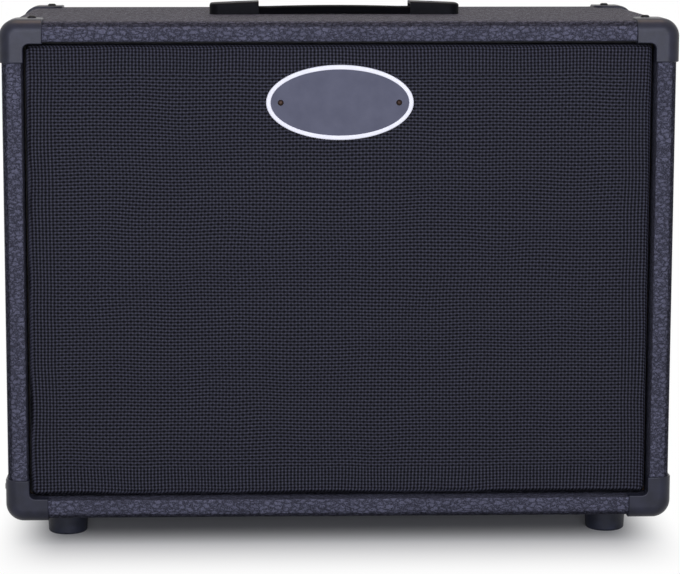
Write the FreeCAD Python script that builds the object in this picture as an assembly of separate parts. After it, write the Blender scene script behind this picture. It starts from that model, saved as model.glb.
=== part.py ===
# Guitar speaker cabinet with one twelve-inch driver. Sizes are in millimetres.
# X runs to the viewer's right, Y runs from the grille to the back and Z runs up.
# The origin lies on the floor, under the middle of the cabinet.
import FreeCAD
import Part
import math
import os

V = FreeCAD.Vector
ORIGIN = V(0, 0, 0)
AXIS_X = V(1, 0, 0)
AXIS_Y = V(0, 1, 0)
AXIS_Z = V(0, 0, 1)
MARGIN = 2.0                # how far a cutting tool runs past what it cuts

# Box, measured over the vinyl
CAB_W = 508.0
CAB_D = 254.0
DRIVER_ROOM = 36.5          # from the driver's rim to the box's top and bottom
PANEL_T = 14.0
VINYL_T = 0.6
LONG_EDGE_R = 12.0          # edges that run from front to back
FACE_EDGE_R = 8.0           # edges around the front and around the rear
FINGER_COUNT = 9            # box-joint fingers along each long edge
TURN_CLEAR = 1.0            # the turned-in vinyl stops this far short of the boards

# Screws: all go into the wood with a pilot hole this much wider than the shank
PILOT_CLEAR = 0.1
HEAD_RIM = 0.3              # share of a head's height that stands upright
HEAD_SHOULDER_R = 0.72      # point on the domed head, as shares of its radius and height
HEAD_SHOULDER_H = 0.75
TIP_L = 1.5                 # tapered tip, in shank radii
TIP_FLAT = 0.3
BOLT_R = 2.5
BOLT_CLEAR = 0.3
TEE_BARREL_R = 3.2
TEE_BARREL_L = 9.0
TEE_FLANGE_R = 6.0
TEE_FLANGE_T = 1.2

# Corner protectors
CORNER_T = 1.8
CORNER_LEG = 31.0
CORNER_TAB_R = 9.0
CORNER_INNER_R = 4.5
CORNER_RIM_R = 0.8          # rounding all along the rim of the outside
CORNER_LIP_T = 1.5          # the lip that turns into the grille opening
CORNER_LIP_DEPTH = 6.0

# Feet
FOOT_H = 19.0
FOOT_TOP_R = 16.0
FOOT_BOTTOM_R = 15.0
FOOT_RIM_R = 2.0
FOOT_INSET = 43.0
FOOT_SEAT_H = 9.0           # height of the washer seat above the floor
FOOT_RECESS_R = 6.5
FOOT_WASHER_T = 1.2
FOOT_WASHER_GAP = 0.4

# Strap handle
HANDLE_L = 198.0
HANDLE_CAP_L = 39.0
HANDLE_CAP_WALL = 2.0
HANDLE_CAP_END = 3.0        # end wall of the cap
HANDLE_CAP_DROP = 1.5       # the cap's top falls this much towards its outer end
HANDLE_CAP_END_R = 8.0
HANDLE_CAP_TOP_R = 1.8
HANDLE_SCREW_IN = 20.0
HANDLE_HEAD_SINK = 1.6
HANDLE_BOSS_R = 4.5
STRAP_W = 26.0
STRAP_T = 5.5
STRAP_ARCH = 0.8
STRAP_ARCH_IN = 8.0         # the arched grip starts this far from the caps
STRAP_EDGE_R = 1.5
STRAP_LIFT = 2.0            # how far the strap lifts inside the caps
STRAP_LIFT_ROOM = 0.5
STRAP_SIDE_GAP = 1.0
STRAP_END_GAP = 4.0
STRAP_TONGUE_T = 3.5
STRAP_MOUTH_LAP = 4.0       # the thick grip runs this far under the cap
STRAP_SLOT_GAP = 0.7
STRAP_SLOT_TRAVEL = 6.0
CORE_W = 14.0
CORE_T = 1.0
CORE_COVER = 1.2            # rubber under the spring-steel core
CORE_END_COVER = 2.0

# Grille
GRILLE_RECESS = 8.0
GRILLE_GAP = 2.5
GRILLE_RAIL_W = 20.0
GRILLE_RAIL_T = 12.0
GRILLE_CORNER_R = 5.0
GRILLE_EDGE_R = 3.0
CLOTH_T = 0.8
CLOTH_TURN = 16.0
PAD_T = 2.0                 # hook pad and loop pad have the same thickness
PAD_W = 12.0
PAD_L = 50.0
PAD_EDGE = 2.0
PAD_SPREAD = 0.5            # place of the pads along the level rails, as a share of the half width

# Badge plate, bare
BADGE_W = 111.4
BADGE_H = 56.8
BADGE_T = 2.5
BADGE_RIM = 3.5
BADGE_FIELD_SINK = 0.5
BADGE_DROP = 61.4           # badge centre below the top of the box
BADGE_PIN_PITCH = 89.3
BADGE_NUT_R = 5.0
BADGE_NUT_T = 0.8

# Baffle, battens and rear panel
BAFFLE_T = 15.0
BAFFLE_GAP = 1.0
BATTEN = 18.0
BATTEN_SHORT_L = 80.0
BAFFLE_SCREW_PITCH = 200.0
REAR_RECESS = 10.0
REAR_T = 12.0
REAR_GAP = 1.0
REAR_SCREW_IN = 10.0

# Jack plate and jack
JACK_DROP = 105.0           # jack axis below the middle of the box
JACK_PLATE = 66.0
JACK_PLATE_T = 2.0
JACK_PLATE_R = 6.0
JACK_PLATE_SCREW_PITCH = 52.0
JACK_HOLE_R = 16.0
JACK_BORE_R = 3.25
JACK_BORE_L = 29.0
JACK_BUSH_R = 4.7
JACK_BUSH_CLEAR = 0.15
JACK_BUSH_SHOWS = 0.8
JACK_BODY = 18.0
JACK_BODY_L = 26.0
JACK_WASHER_R = 7.0
JACK_WASHER_T = 0.8
JACK_NUT_R = 7.0
JACK_NUT_T = 2.6
JACK_LUG_W = 4.0
JACK_LUG_T = 0.8
JACK_LUG_L = 6.0
JACK_LUG_PITCH = 9.0

# Driver: radii from its axis, depths behind the baffle
WALL_TOP_R = 133.0          # top of the basket's sloping wall, the driver's main size
LEDGE_W = 9.0               # step around the wall, which holds the edge of the cone
RIM_W = 12.0                # flat rim around the step
CUTOUT_LAP = 0.5            # the baffle's opening is this much smaller than the step
BOLT_COUNT = 8
GASKET_T = 3.0
GASKET_GAP = 0.5            # the gasket's hole is this much wider than the wall
GASKET_MARGIN = 1.0
BASKET_T = 1.5
LANDING_R = 84.0
LANDING_INNER_R = 70.0
LANDING_DEPTH = 66.0
WELL_R = 66.0
WELL_DEPTH = 86.0
WELL_HOLE_R = 30.0
WINDOW_COUNT = 8
WINDOW_ANGLE = 33.0
WINDOW_START = 0.16         # share of the sloping wall
WINDOW_END = 0.82
WAVE_RISE = 0.26            # height of a corrugation as a share of its width
EDGE_T = 0.8
EDGE_W = 15.0               # corrugated edge between the cone and the wall
EDGE_WAVES = 3
CONE_LAP = 4.0
CONE_T = 0.9
CONE_BOW = 6.0              # the cone's wall curves this far in front of a straight one
NECK_DEPTH = 62.0
GLUE_GAP = 0.2
DUST_CAP_R = 38.0
DUST_CAP_H = 14.0
DUST_CAP_T = 0.8
COIL_R = 25.0
FORMER_T = 0.4
FORMER_TOP = 60.0
FORMER_L = 38.0
WINDING_T = 1.0
WINDING_L = 12.0
COIL_GAP = 0.8
SPIDER_R = 82.0
SPIDER_RIM = 8.0
SPIDER_NECK_RIM = 3.3
SPIDER_T = 0.8
SPIDER_WAVES = 11
TOP_PLATE_R = 70.0
TOP_PLATE_T = 7.0
MAGNET_R = 78.0
MAGNET_INNER_R = 45.0
MAGNET_T = 20.0
BACK_PLATE_R = 70.0
BACK_PLATE_T = 7.0
POLE_ABOVE = 1.0
TERMINAL_R = 78.0           # middle of the terminal board, below the axis
TERMINAL_W = 36.0
TERMINAL_H = 12.0
TERMINAL_T = 2.0
TAB_PITCH = 20.0
TAB_W = 6.3
TAB_T = 0.8
TAB_L = 16.0
TAB_OUT = 8.0               # the tab stands out of the board by this much
TINSEL_R = 0.8
TINSEL_PITCH = 31.0
TINSEL_END_R = 60.0
TINSEL_LOOP = 6.4           # how far the flexible leads stand out from the basket
TINSEL_STEP = 8.0
LEAD_R = 1.2
LEAD_DROP = 25.0
LEAD_SAG = 30.0
LEAD_RUN_IN = 25.0
ARC_SHARE = 0.45            # share of the shorter run that an arc of a lead takes up

# Levels and faces that follow from the sizes above
LEDGE_R = WALL_TOP_R + LEDGE_W
DRIVER_R = LEDGE_R + RIM_W
DRIVER_CUTOUT_R = LEDGE_R - CUTOUT_LAP
GASKET_INNER_R = WALL_TOP_R + GASKET_GAP
CONE_R = WALL_TOP_R - EDGE_W
CAB_H = 2 * (DRIVER_R + DRIVER_ROOM)    # 381 with a twelve-inch driver
Z0 = FOOT_H
Z1 = FOOT_H + CAB_H
ZC = (Z0 + Z1) / 2
YF = -CAB_D / 2
YB = CAB_D / 2
WOOD_X = CAB_W / 2 - VINYL_T
IN_X = WOOD_X - PANEL_T                 # inner faces of the wood
IN_Z0 = Z0 + VINYL_T + PANEL_T
IN_Z1 = Z1 - VINYL_T - PANEL_T
OPEN_X = IN_X - VINYL_T                 # inner faces of the turned-in vinyl
OPEN_Z0 = IN_Z0 + VINYL_T
OPEN_Z1 = IN_Z1 - VINYL_T
GRILLE_X = OPEN_X - GRILLE_GAP
GRILLE_Z0 = OPEN_Z0 + GRILLE_GAP
GRILLE_Z1 = OPEN_Z1 - GRILLE_GAP
CLOTH_Y = YF + GRILLE_RECESS
FRAME_Y0 = CLOTH_Y + CLOTH_T
FRAME_Y1 = FRAME_Y0 + GRILLE_RAIL_T
TURN_Y = FRAME_Y1 + CLOTH_T
LOOP_Y = TURN_Y + PAD_T
BAFFLE_Y0 = LOOP_Y + PAD_T
BAFFLE_Y1 = BAFFLE_Y0 + BAFFLE_T
REAR_Y1 = YB - REAR_RECESS
REAR_Y0 = REAR_Y1 - REAR_T
JACK_Z = ZC - JACK_DROP
HANDLE_CAP_H = STRAP_T + STRAP_LIFT + STRAP_LIFT_ROOM + HANDLE_CAP_WALL
HANDLE_CAP_W = STRAP_W + 2 * STRAP_SIDE_GAP + 2 * HANDLE_CAP_WALL
MOUTH_X = HANDLE_L / 2 - HANDLE_CAP_L
STRAP_ARCH_HALF = MOUTH_X - STRAP_ARCH_IN
HANDLE_SCREW_X = HANDLE_L / 2 - HANDLE_SCREW_IN
CORNER_SCREW_IN = CORNER_LEG - CORNER_TAB_R
BOLT_CIRCLE_R = (DRIVER_R + LEDGE_R + BASKET_T) / 2     # middle of the flat rim
TOP_PLATE_Y = WELL_DEPTH + BASKET_T
MAGNET_Y = TOP_PLATE_Y + TOP_PLATE_T
BACK_PLATE_Y = MAGNET_Y + MAGNET_T
POLE_R = COIL_R - COIL_GAP
TOP_PLATE_HOLE_R = COIL_R + FORMER_T + WINDING_T + COIL_GAP
NECK_R = COIL_R + FORMER_T + GLUE_GAP


class ScrewSize:
    """Sizes of one kind of round-headed screw."""

    def __init__(self, head_r, head_h, shank_r, length):
        self.head_r = head_r
        self.head_h = head_h
        self.shank_r = shank_r
        self.length = length


CORNER_SCREW = ScrewSize(head_r=3.4, head_h=1.8, shank_r=1.8, length=12.0)
FOOT_SCREW = ScrewSize(head_r=4.6, head_h=2.6, shank_r=2.4, length=24.0)
BAFFLE_SCREW = ScrewSize(head_r=4.0, head_h=2.0, shank_r=2.0, length=28.0)
REAR_SCREW = ScrewSize(head_r=4.2, head_h=2.2, shank_r=2.0, length=26.0)
PLATE_SCREW = ScrewSize(head_r=3.0, head_h=1.6, shank_r=1.6, length=10.0)
BADGE_SCREW = ScrewSize(head_r=2.2, head_h=1.2, shank_r=1.2, length=7.0)
HANDLE_SCREW = ScrewSize(head_r=4.4, head_h=1.6, shank_r=BOLT_R, length=22.0)
SPEAKER_BOLT = ScrewSize(head_r=4.2, head_h=3.0, shank_r=BOLT_R, length=18.0)


def block(x0, x1, y0, y1, z0, z1):
    """Box between six planes."""
    return Part.makeBox(x1 - x0, y1 - y0, z1 - z0, V(x0, y0, z0))


def rod(start, direction, radius, length):
    """Round bar from a start point along a direction."""
    return Part.makeCylinder(radius, length, start, direction)


def fused(shapes):
    """Several shapes joined into one, without the seams between them."""
    return shapes[0].multiFuse(shapes[1:]).removeSplitter()


def edges_along(shape, axis):
    """Straight edges of a shape that are parallel to an axis."""
    found = []
    for edge in shape.Edges:
        start, end = (vertex.Point for vertex in edge.Vertexes)
        if (end - start).cross(axis).Length < 1e-6:
            found.append(edge)
    return found


def edges_at_y(shape, y):
    """Edges of a shape that lie in one plane across Y."""
    return [edge for edge in shape.Edges
            if all(abs(vertex.Point.y - y) < 1e-6 for vertex in edge.Vertexes)]


def rounded_block(half_x, y0, y1, z0, z1, corner_r, front_r, rear_r=0.0):
    """Box with rounded long edges and a rounded front and rear rim."""
    body = block(-half_x, half_x, y0, y1, z0, z1)
    body = body.makeFillet(corner_r, edges_along(body, AXIS_Y))
    body = body.makeFillet(front_r, edges_at_y(body, y0))
    if rear_r:
        body = body.makeFillet(rear_r, edges_at_y(body, y1))
    return body


def cabinet_block(grow):
    """The whole outside of the box as a solid, grown on every side."""
    return rounded_block(CAB_W / 2 + grow, YF - grow, YB + grow, Z0 - grow, Z1 + grow,
                         LONG_EDGE_R + grow, FACE_EDGE_R + grow, FACE_EDGE_R + grow)


def closed_face(edges):
    """Face inside a closed run of edges."""
    return Part.Face(Part.Wire(Part.sortEdges(edges)[0]))


def polygon_face(points):
    """Face inside a closed run of points."""
    return Part.Face(Part.makePolygon(points + points[:1]))


def mirrored_x(shape):
    """The same shape on the other side of the middle plane."""
    return shape.mirror(ORIGIN, AXIS_X)


def mirrored_y(shape):
    """The same shape at the other end of the cabinet's depth."""
    return shape.mirror(ORIGIN, AXIS_Y)


def mirrored_z(shape):
    """The same shape on the other side of the box's middle height."""
    return shape.mirror(V(0, 0, ZC), AXIS_Z)


def placed(shape, position, direction):
    """Copy of a shape made along Z, turned to a direction and moved to a position."""
    copy = shape.copy()
    copy.Placement = FreeCAD.Placement(position, FreeCAD.Rotation(AXIS_Z, direction))
    return copy


def screw(size):
    """Round-headed screw along Z, with its head seated at zero and its shank below."""
    crown = V(0, 0, size.head_h)
    shoulder = V(HEAD_SHOULDER_R * size.head_r, 0, HEAD_SHOULDER_H * size.head_h)
    rim = V(size.head_r, 0, HEAD_RIM * size.head_h)
    outline = [rim, V(size.head_r, 0, 0), V(size.shank_r, 0, 0),
               V(size.shank_r, 0, TIP_L * size.shank_r - size.length),
               V(TIP_FLAT * size.shank_r, 0, -size.length), V(0, 0, -size.length), crown]
    edges = [Part.Arc(crown, shoulder, rim).toShape()]
    for start, end in zip(outline, outline[1:]):
        edges.append(Part.makeLine(start, end))
    return closed_face(edges).revolve(ORIGIN, AXIS_Z, 360)


def screw_group(size, sites):
    """One screw at each site: a seat position and the way its head faces."""
    pattern = screw(size)
    return Part.makeCompound([placed(pattern, seat, facing) for seat, facing in sites])


def screw_holes(size, sites, clearance=PILOT_CLEAR):
    """Holes for the shanks of a group of screws, open past the seat."""
    holes = []
    for seat, facing in sites:
        start = seat + facing * MARGIN
        holes.append(rod(start, facing * -1, size.shank_r + clearance, size.length + MARGIN))
    return holes


def spun(edges):
    """Driver piece turned about the driver's axis from radius and depth edges."""
    solid = closed_face(edges).revolve(ORIGIN, AXIS_Y, 360)
    solid.translate(V(0, BAFFLE_Y1, ZC))
    return solid


def line_edges(points):
    """Straight edges through radius and depth pairs."""
    corners = [V(radius, depth, 0) for radius, depth in points]
    return [Part.makeLine(start, end) for start, end in zip(corners, corners[1:])]


def ring(inner_r, outer_r, depth0, depth1):
    """Flat ring or tube about the driver's axis."""
    corners = [(inner_r, depth0), (outer_r, depth0), (outer_r, depth1), (inner_r, depth1)]
    return spun(line_edges(corners + corners[:1]))


def spun_sheet(front, thickness):
    """Thin driver piece whose back is its front line moved back by its thickness."""
    shift = V(0, thickness, 0)
    back = [edge.translated(shift) for edge in front]
    start = front[0].Vertexes[0].Point
    end = front[-1].Vertexes[-1].Point
    ends = [Part.makeLine(start, start + shift), Part.makeLine(end, end + shift)]
    return spun(front + back + ends)


def wave_edges(start_r, end_r, depth, waves):
    """Corrugations between two radii, as arcs that swing to and fro."""
    pitch = (end_r - start_r) / waves
    height = WAVE_RISE * pitch
    edges = []
    for index in range(waves):
        swing = -height if index % 2 == 0 else height
        start = V(start_r + index * pitch, depth, 0)
        middle = start + V(pitch / 2, swing, 0)
        edges.append(Part.Arc(start, middle, start + V(pitch, 0, 0)).toShape())
    return edges


def rounded_path(points):
    """Straight runs between points, joined by tangent arcs."""
    edges = []
    run_start = points[0]
    for before, corner, after in zip(points, points[1:], points[2:]):
        inward = (corner - before).normalize()
        outward = (after - corner).normalize()
        turn = inward.getAngle(outward)
        setback = ARC_SHARE * min((corner - before).Length, (after - corner).Length)
        radius = setback / math.tan(turn / 2)
        arc_start = corner - inward * setback
        arc_end = corner + outward * setback
        to_centre = (outward - inward).normalize()
        print("lead bend radius %.1f mm" % radius)
        arc_middle = corner + to_centre * (radius / math.cos(turn / 2) - radius)
        edges.append(Part.makeLine(run_start, arc_start))
        edges.append(Part.Arc(arc_start, arc_middle, arc_end).toShape())
        run_start = arc_end
    edges.append(Part.makeLine(run_start, points[-1]))
    return Part.Wire(edges)


def tube(points, radius):
    """Round wire along a path of straight runs and arcs."""
    path = rounded_path(points)
    circle = Part.makeCircle(radius, points[0], points[1] - points[0])
    return path.makePipeShell([Part.Wire([circle])], True, False)


def signs():
    """The four corners of a rectangle, as pairs of signs."""
    return [(-1, -1), (1, -1), (-1, 1), (1, 1)]


# Fastener sites: a seat position and the way the head faces


def corner_screw_sites():
    """Two screws in each corner protector: one up or down and one to the side."""
    sites = []
    for x_sign, y_sign in signs():
        for z_sign in (-1, 1):
            y = y_sign * (CAB_D / 2 - CORNER_SCREW_IN)
            level = V(x_sign * (CAB_W / 2 - CORNER_SCREW_IN), y, ZC + z_sign * (CAB_H / 2 + CORNER_T))
            flank = V(x_sign * (CAB_W / 2 + CORNER_T), y, ZC + z_sign * (CAB_H / 2 - CORNER_SCREW_IN))
            sites.append((level, AXIS_Z * z_sign))
            sites.append((flank, AXIS_X * x_sign))
    return sites


def foot_centres():
    """Points on the floor under the middle of each foot."""
    x = CAB_W / 2 - FOOT_INSET
    y = CAB_D / 2 - FOOT_INSET
    return [V(x_sign * x, y_sign * y, 0) for x_sign, y_sign in signs()]


def foot_screw_sites():
    """One screw up through each foot, under its washer."""
    seat = V(0, 0, FOOT_SEAT_H - FOOT_WASHER_T)
    return [(centre + seat, AXIS_Z * -1) for centre in foot_centres()]


def handle_roof(x):
    """Height of the handle cap's top above the vinyl at a distance from the middle."""
    return HANDLE_CAP_H - HANDLE_CAP_DROP * (x - MOUTH_X) / HANDLE_CAP_L


def handle_screw_sites():
    """One screw down through each handle cap."""
    seat_z = Z1 + handle_roof(HANDLE_SCREW_X) - HANDLE_HEAD_SINK
    return [(V(side * HANDLE_SCREW_X, 0, seat_z), AXIS_Z) for side in (-1, 1)]


def baffle_screw_sites():
    """Screws through the baffle into the battens behind it."""
    x = IN_X - BATTEN / 2
    sites = [(V(x_sign * x, BAFFLE_Y0, ZC + z_sign * BAFFLE_SCREW_PITCH / 2), AXIS_Y * -1)
             for x_sign, z_sign in signs()]
    x = IN_X - BATTEN - BATTEN_SHORT_L / 2
    for x_sign in (-1, 1):
        for z in (IN_Z0 + BATTEN / 2, IN_Z1 - BATTEN / 2):
            sites.append((V(x_sign * x, BAFFLE_Y0, z), AXIS_Y * -1))
    return sites


def rear_screw_sites():
    """Screws through the rear panel into the battens in front of it."""
    x = OPEN_X - REAR_SCREW_IN
    z0 = OPEN_Z0 + REAR_SCREW_IN
    z1 = OPEN_Z1 - REAR_SCREW_IN
    spots = [(side * x, z) for side in (-1, 0, 1) for z in (z0, z1)]
    spots += [(side * x, ZC) for side in (-1, 1)]
    return [(V(x, REAR_Y1, z), AXIS_Y) for x, z in spots]


def plate_screw_sites():
    """Four screws that hold the jack plate."""
    reach = JACK_PLATE_SCREW_PITCH / 2
    y = REAR_Y1 + JACK_PLATE_T
    return [(V(x_sign * reach, y, JACK_Z + z_sign * reach), AXIS_Y) for x_sign, z_sign in signs()]


def badge_screw_sites():
    """Two screws through the badge's field and the cloth."""
    y = CLOTH_Y - BADGE_T + BADGE_FIELD_SINK
    return [(V(side * BADGE_PIN_PITCH / 2, y, Z1 - BADGE_DROP), AXIS_Y * -1) for side in (-1, 1)]


def bolt_circle(y):
    """Points on the driver's bolt circle at one depth of the cabinet."""
    points = []
    for index in range(BOLT_COUNT):
        angle = math.radians((index + 0.5) * 360.0 / BOLT_COUNT)
        points.append(V(BOLT_CIRCLE_R * math.cos(angle), y, ZC + BOLT_CIRCLE_R * math.sin(angle)))
    return points


def bolt_holes(radius):
    """Holes on the driver's bolt circle, from the baffle's front to behind the flange."""
    start = BAFFLE_Y0 - MARGIN
    length = BAFFLE_T + GASKET_T + BASKET_T + 2 * MARGIN
    return [rod(point, AXIS_Y, radius, length) for point in bolt_circle(start)]


# Box


def finger_blocks(odd, x_sign, z_sign):
    """The corner pieces of one long edge that belong to one of its two panels."""
    depth = CAB_D - 2 * VINYL_T
    pitch = depth / FINGER_COUNT
    x0, x1 = sorted((x_sign * IN_X, x_sign * WOOD_X))
    z0, z1 = (IN_Z1, IN_Z1 + PANEL_T) if z_sign > 0 else (IN_Z0 - PANEL_T, IN_Z0)
    start = YF + VINYL_T
    return [block(x0, x1, start + index * pitch, start + (index + 1) * pitch, z0, z1)
            for index in range(FINGER_COUNT) if index % 2 == odd]


def level_panel(z_sign):
    """Top or bottom panel with its fingers."""
    z0, z1 = (IN_Z1, IN_Z1 + PANEL_T) if z_sign > 0 else (IN_Z0 - PANEL_T, IN_Z0)
    slab = block(-IN_X, IN_X, YF + VINYL_T, YB - VINYL_T, z0, z1)
    fingers = finger_blocks(1, -1, z_sign) + finger_blocks(1, 1, z_sign)
    return fused([slab] + fingers).common(cabinet_block(-VINYL_T))


def side_panel(x_sign):
    """Left or right panel with its fingers."""
    x0, x1 = sorted((x_sign * IN_X, x_sign * WOOD_X))
    slab = block(x0, x1, YF + VINYL_T, YB - VINYL_T, IN_Z0, IN_Z1)
    fingers = finger_blocks(0, x_sign, -1) + finger_blocks(0, x_sign, 1)
    return fused([slab] + fingers).common(cabinet_block(-VINYL_T))


def vinyl_covering():
    """Vinyl over the outside, around the front and rear rims and turned into the openings."""
    passage = block(-OPEN_X, OPEN_X, YF - MARGIN, YB + MARGIN, OPEN_Z0, OPEN_Z1)
    wood_passage = block(-IN_X, IN_X, YF, YB, IN_Z0, IN_Z1)
    wood = cabinet_block(-VINYL_T).cut(wood_passage)
    inner = block(-IN_X, IN_X, BAFFLE_Y0 - TURN_CLEAR, REAR_Y0 + TURN_CLEAR, IN_Z0, IN_Z1)
    covering = cabinet_block(0.0).cut([wood, passage, inner])
    holes = screw_holes(CORNER_SCREW, corner_screw_sites())
    holes += screw_holes(FOOT_SCREW, foot_screw_sites())
    holes += screw_holes(HANDLE_SCREW, handle_screw_sites(), BOLT_CLEAR)
    return covering.cut(holes)


def baffle_battens():
    """Battens behind the baffle: one at each side and short ones above and below the driver."""
    y0 = BAFFLE_Y1
    y1 = BAFFLE_Y1 + BATTEN
    right = block(IN_X - BATTEN, IN_X, y0, y1, IN_Z0, IN_Z1)
    short_x1 = IN_X - BATTEN
    short_x0 = short_x1 - BATTEN_SHORT_L
    low = block(short_x0, short_x1, y0, y1, IN_Z0, IN_Z0 + BATTEN)
    high = block(short_x0, short_x1, y0, y1, IN_Z1 - BATTEN, IN_Z1)
    holes = screw_holes(BAFFLE_SCREW, baffle_screw_sites())
    half = [batten.cut(holes) for batten in (right, low, high)]
    other = [mirrored_x(batten) for batten in half]
    return Part.makeCompound(half + other)


def rear_battens():
    """Battens in front of the rear panel, all the way around."""
    y1 = REAR_Y0
    y0 = REAR_Y0 - BATTEN
    right = block(IN_X - BATTEN, IN_X, y0, y1, IN_Z0, IN_Z1)
    low = block(BATTEN - IN_X, IN_X - BATTEN, y0, y1, IN_Z0, IN_Z0 + BATTEN)
    high = block(BATTEN - IN_X, IN_X - BATTEN, y0, y1, IN_Z1 - BATTEN, IN_Z1)
    holes = screw_holes(REAR_SCREW, rear_screw_sites())
    return Part.makeCompound([batten.cut(holes) for batten in (right, mirrored_x(right), low, high)])


def baffle_board():
    """Baffle with the driver's opening and the holes for tee nuts and screws."""
    half_x = IN_X - BAFFLE_GAP
    board = block(-half_x, half_x, BAFFLE_Y0, BAFFLE_Y1, IN_Z0 + BAFFLE_GAP, IN_Z1 - BAFFLE_GAP)
    opening = rod(V(0, BAFFLE_Y0 - MARGIN, ZC), AXIS_Y, DRIVER_CUTOUT_R, BAFFLE_T + 2 * MARGIN)
    holes = bolt_holes(TEE_BARREL_R + PILOT_CLEAR) + screw_holes(BAFFLE_SCREW, baffle_screw_sites())
    return board.cut([opening] + holes)


def rear_panel():
    """Rear panel with the hole that the jack sits in."""
    half_x = OPEN_X - REAR_GAP
    board = block(-half_x, half_x, REAR_Y0, REAR_Y1, OPEN_Z0 + REAR_GAP, OPEN_Z1 - REAR_GAP)
    jack_hole = rod(V(0, REAR_Y0 - MARGIN, JACK_Z), AXIS_Y, JACK_HOLE_R, REAR_T + 2 * MARGIN)
    holes = screw_holes(REAR_SCREW, rear_screw_sites()) + screw_holes(PLATE_SCREW, plate_screw_sites())
    return board.cut([jack_hole] + holes)


# Corner protectors, feet and handle


def skin_rim(shell, skin):
    """Edges where the outside of a shell, which lies on a skin, comes to an end."""
    edges = []
    for face in shell.Faces:
        u0, u1, v0, v1 = face.ParameterRange
        middle = Part.Vertex(face.valueAt((u0 + u1) / 2, (v0 + v1) / 2))
        if skin.distToShape(middle)[0] < 1e-6:
            edges += face.Edges
    return [edge for edge in edges if sum(edge.isSame(other) for other in edges) == 1]


def corner_protector():
    """Moulded protector for the front, top, right corner of the box."""
    x1 = CAB_W / 2
    leg_x = x1 - CORNER_LEG
    leg_y = YF + CORNER_LEG
    leg_z = Z1 - CORNER_LEG
    corner = block(leg_x, x1 + CORNER_T, YF - CORNER_T, leg_y, leg_z, Z1 + CORNER_T)
    outside = cabinet_block(CORNER_T)
    skin = outside.common(corner).cut(cabinet_block(0.0))
    lip_x = OPEN_X - CORNER_LIP_T
    lip_z = OPEN_Z1 - CORNER_LIP_T
    opening = block(leg_x - MARGIN, lip_x, YF - CORNER_T - MARGIN, leg_y, leg_z - MARGIN, lip_z)
    inner_edge = [edge for edge in edges_along(opening, AXIS_Y)
                  if edge.Vertexes[0].Point.x > leg_x and edge.Vertexes[0].Point.z > leg_z]
    opening = opening.makeFillet(CORNER_INNER_R, inner_edge)
    lip = block(leg_x, OPEN_X, YF - CORNER_T, YF + CORNER_LIP_DEPTH, leg_z, OPEN_Z1)
    shell = fused([skin.cut(opening), lip.cut(opening)])
    tab_x = leg_x + CORNER_TAB_R
    tab_y = leg_y - CORNER_TAB_R
    tab_z = leg_z + CORNER_TAB_R
    top_z = Z1 + CORNER_T + MARGIN
    side_x = x1 + CORNER_T + MARGIN
    top_round = rod(V(tab_x, tab_y, Z1), AXIS_Z, CORNER_TAB_R, top_z - Z1)
    side_round = rod(V(x1, tab_y, tab_z), AXIS_X, CORNER_TAB_R, side_x - x1)
    top_trim = block(leg_x - MARGIN, tab_x, tab_y, leg_y + MARGIN, Z1, top_z).cut(top_round)
    side_trim = block(x1, side_x, tab_y, leg_y + MARGIN, leg_z - MARGIN, tab_z).cut(side_round)
    shell = shell.cut([top_trim, side_trim])
    shell = shell.makeFillet(CORNER_RIM_R, skin_rim(shell, outside.Shells[0]))
    return shell.cut(screw_holes(CORNER_SCREW, corner_screw_sites()))


def foot():
    """Rubber foot on the floor, with a recess for its screw and washer."""
    hole_r = FOOT_SCREW.shank_r + BOLT_CLEAR
    rim_r = FOOT_RIM_R
    swing = rim_r * (1 - math.sqrt(0.5))
    outline = [V(FOOT_BOTTOM_R, 0, rim_r), V(FOOT_TOP_R, 0, FOOT_H), V(hole_r, 0, FOOT_H),
               V(hole_r, 0, FOOT_SEAT_H), V(FOOT_RECESS_R, 0, FOOT_SEAT_H), V(FOOT_RECESS_R, 0, 0),
               V(FOOT_BOTTOM_R - rim_r, 0, 0)]
    edges = [Part.makeLine(start, end) for start, end in zip(outline, outline[1:])]
    middle = V(FOOT_BOTTOM_R - swing, 0, swing)
    edges.append(Part.Arc(outline[-1], middle, outline[0]).toShape())
    return closed_face(edges).revolve(ORIGIN, AXIS_Z, 360)


def foot_washers():
    """Steel washers between the foot's seat and the screw heads."""
    washers = []
    for seat, facing in foot_screw_sites():
        outer = rod(seat, AXIS_Z, FOOT_RECESS_R - FOOT_WASHER_GAP, FOOT_WASHER_T)
        washers.append(outer.cut(rod(seat, AXIS_Z, FOOT_SCREW.shank_r + BOLT_CLEAR, FOOT_WASHER_T)))
    return Part.makeCompound(washers)


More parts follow.
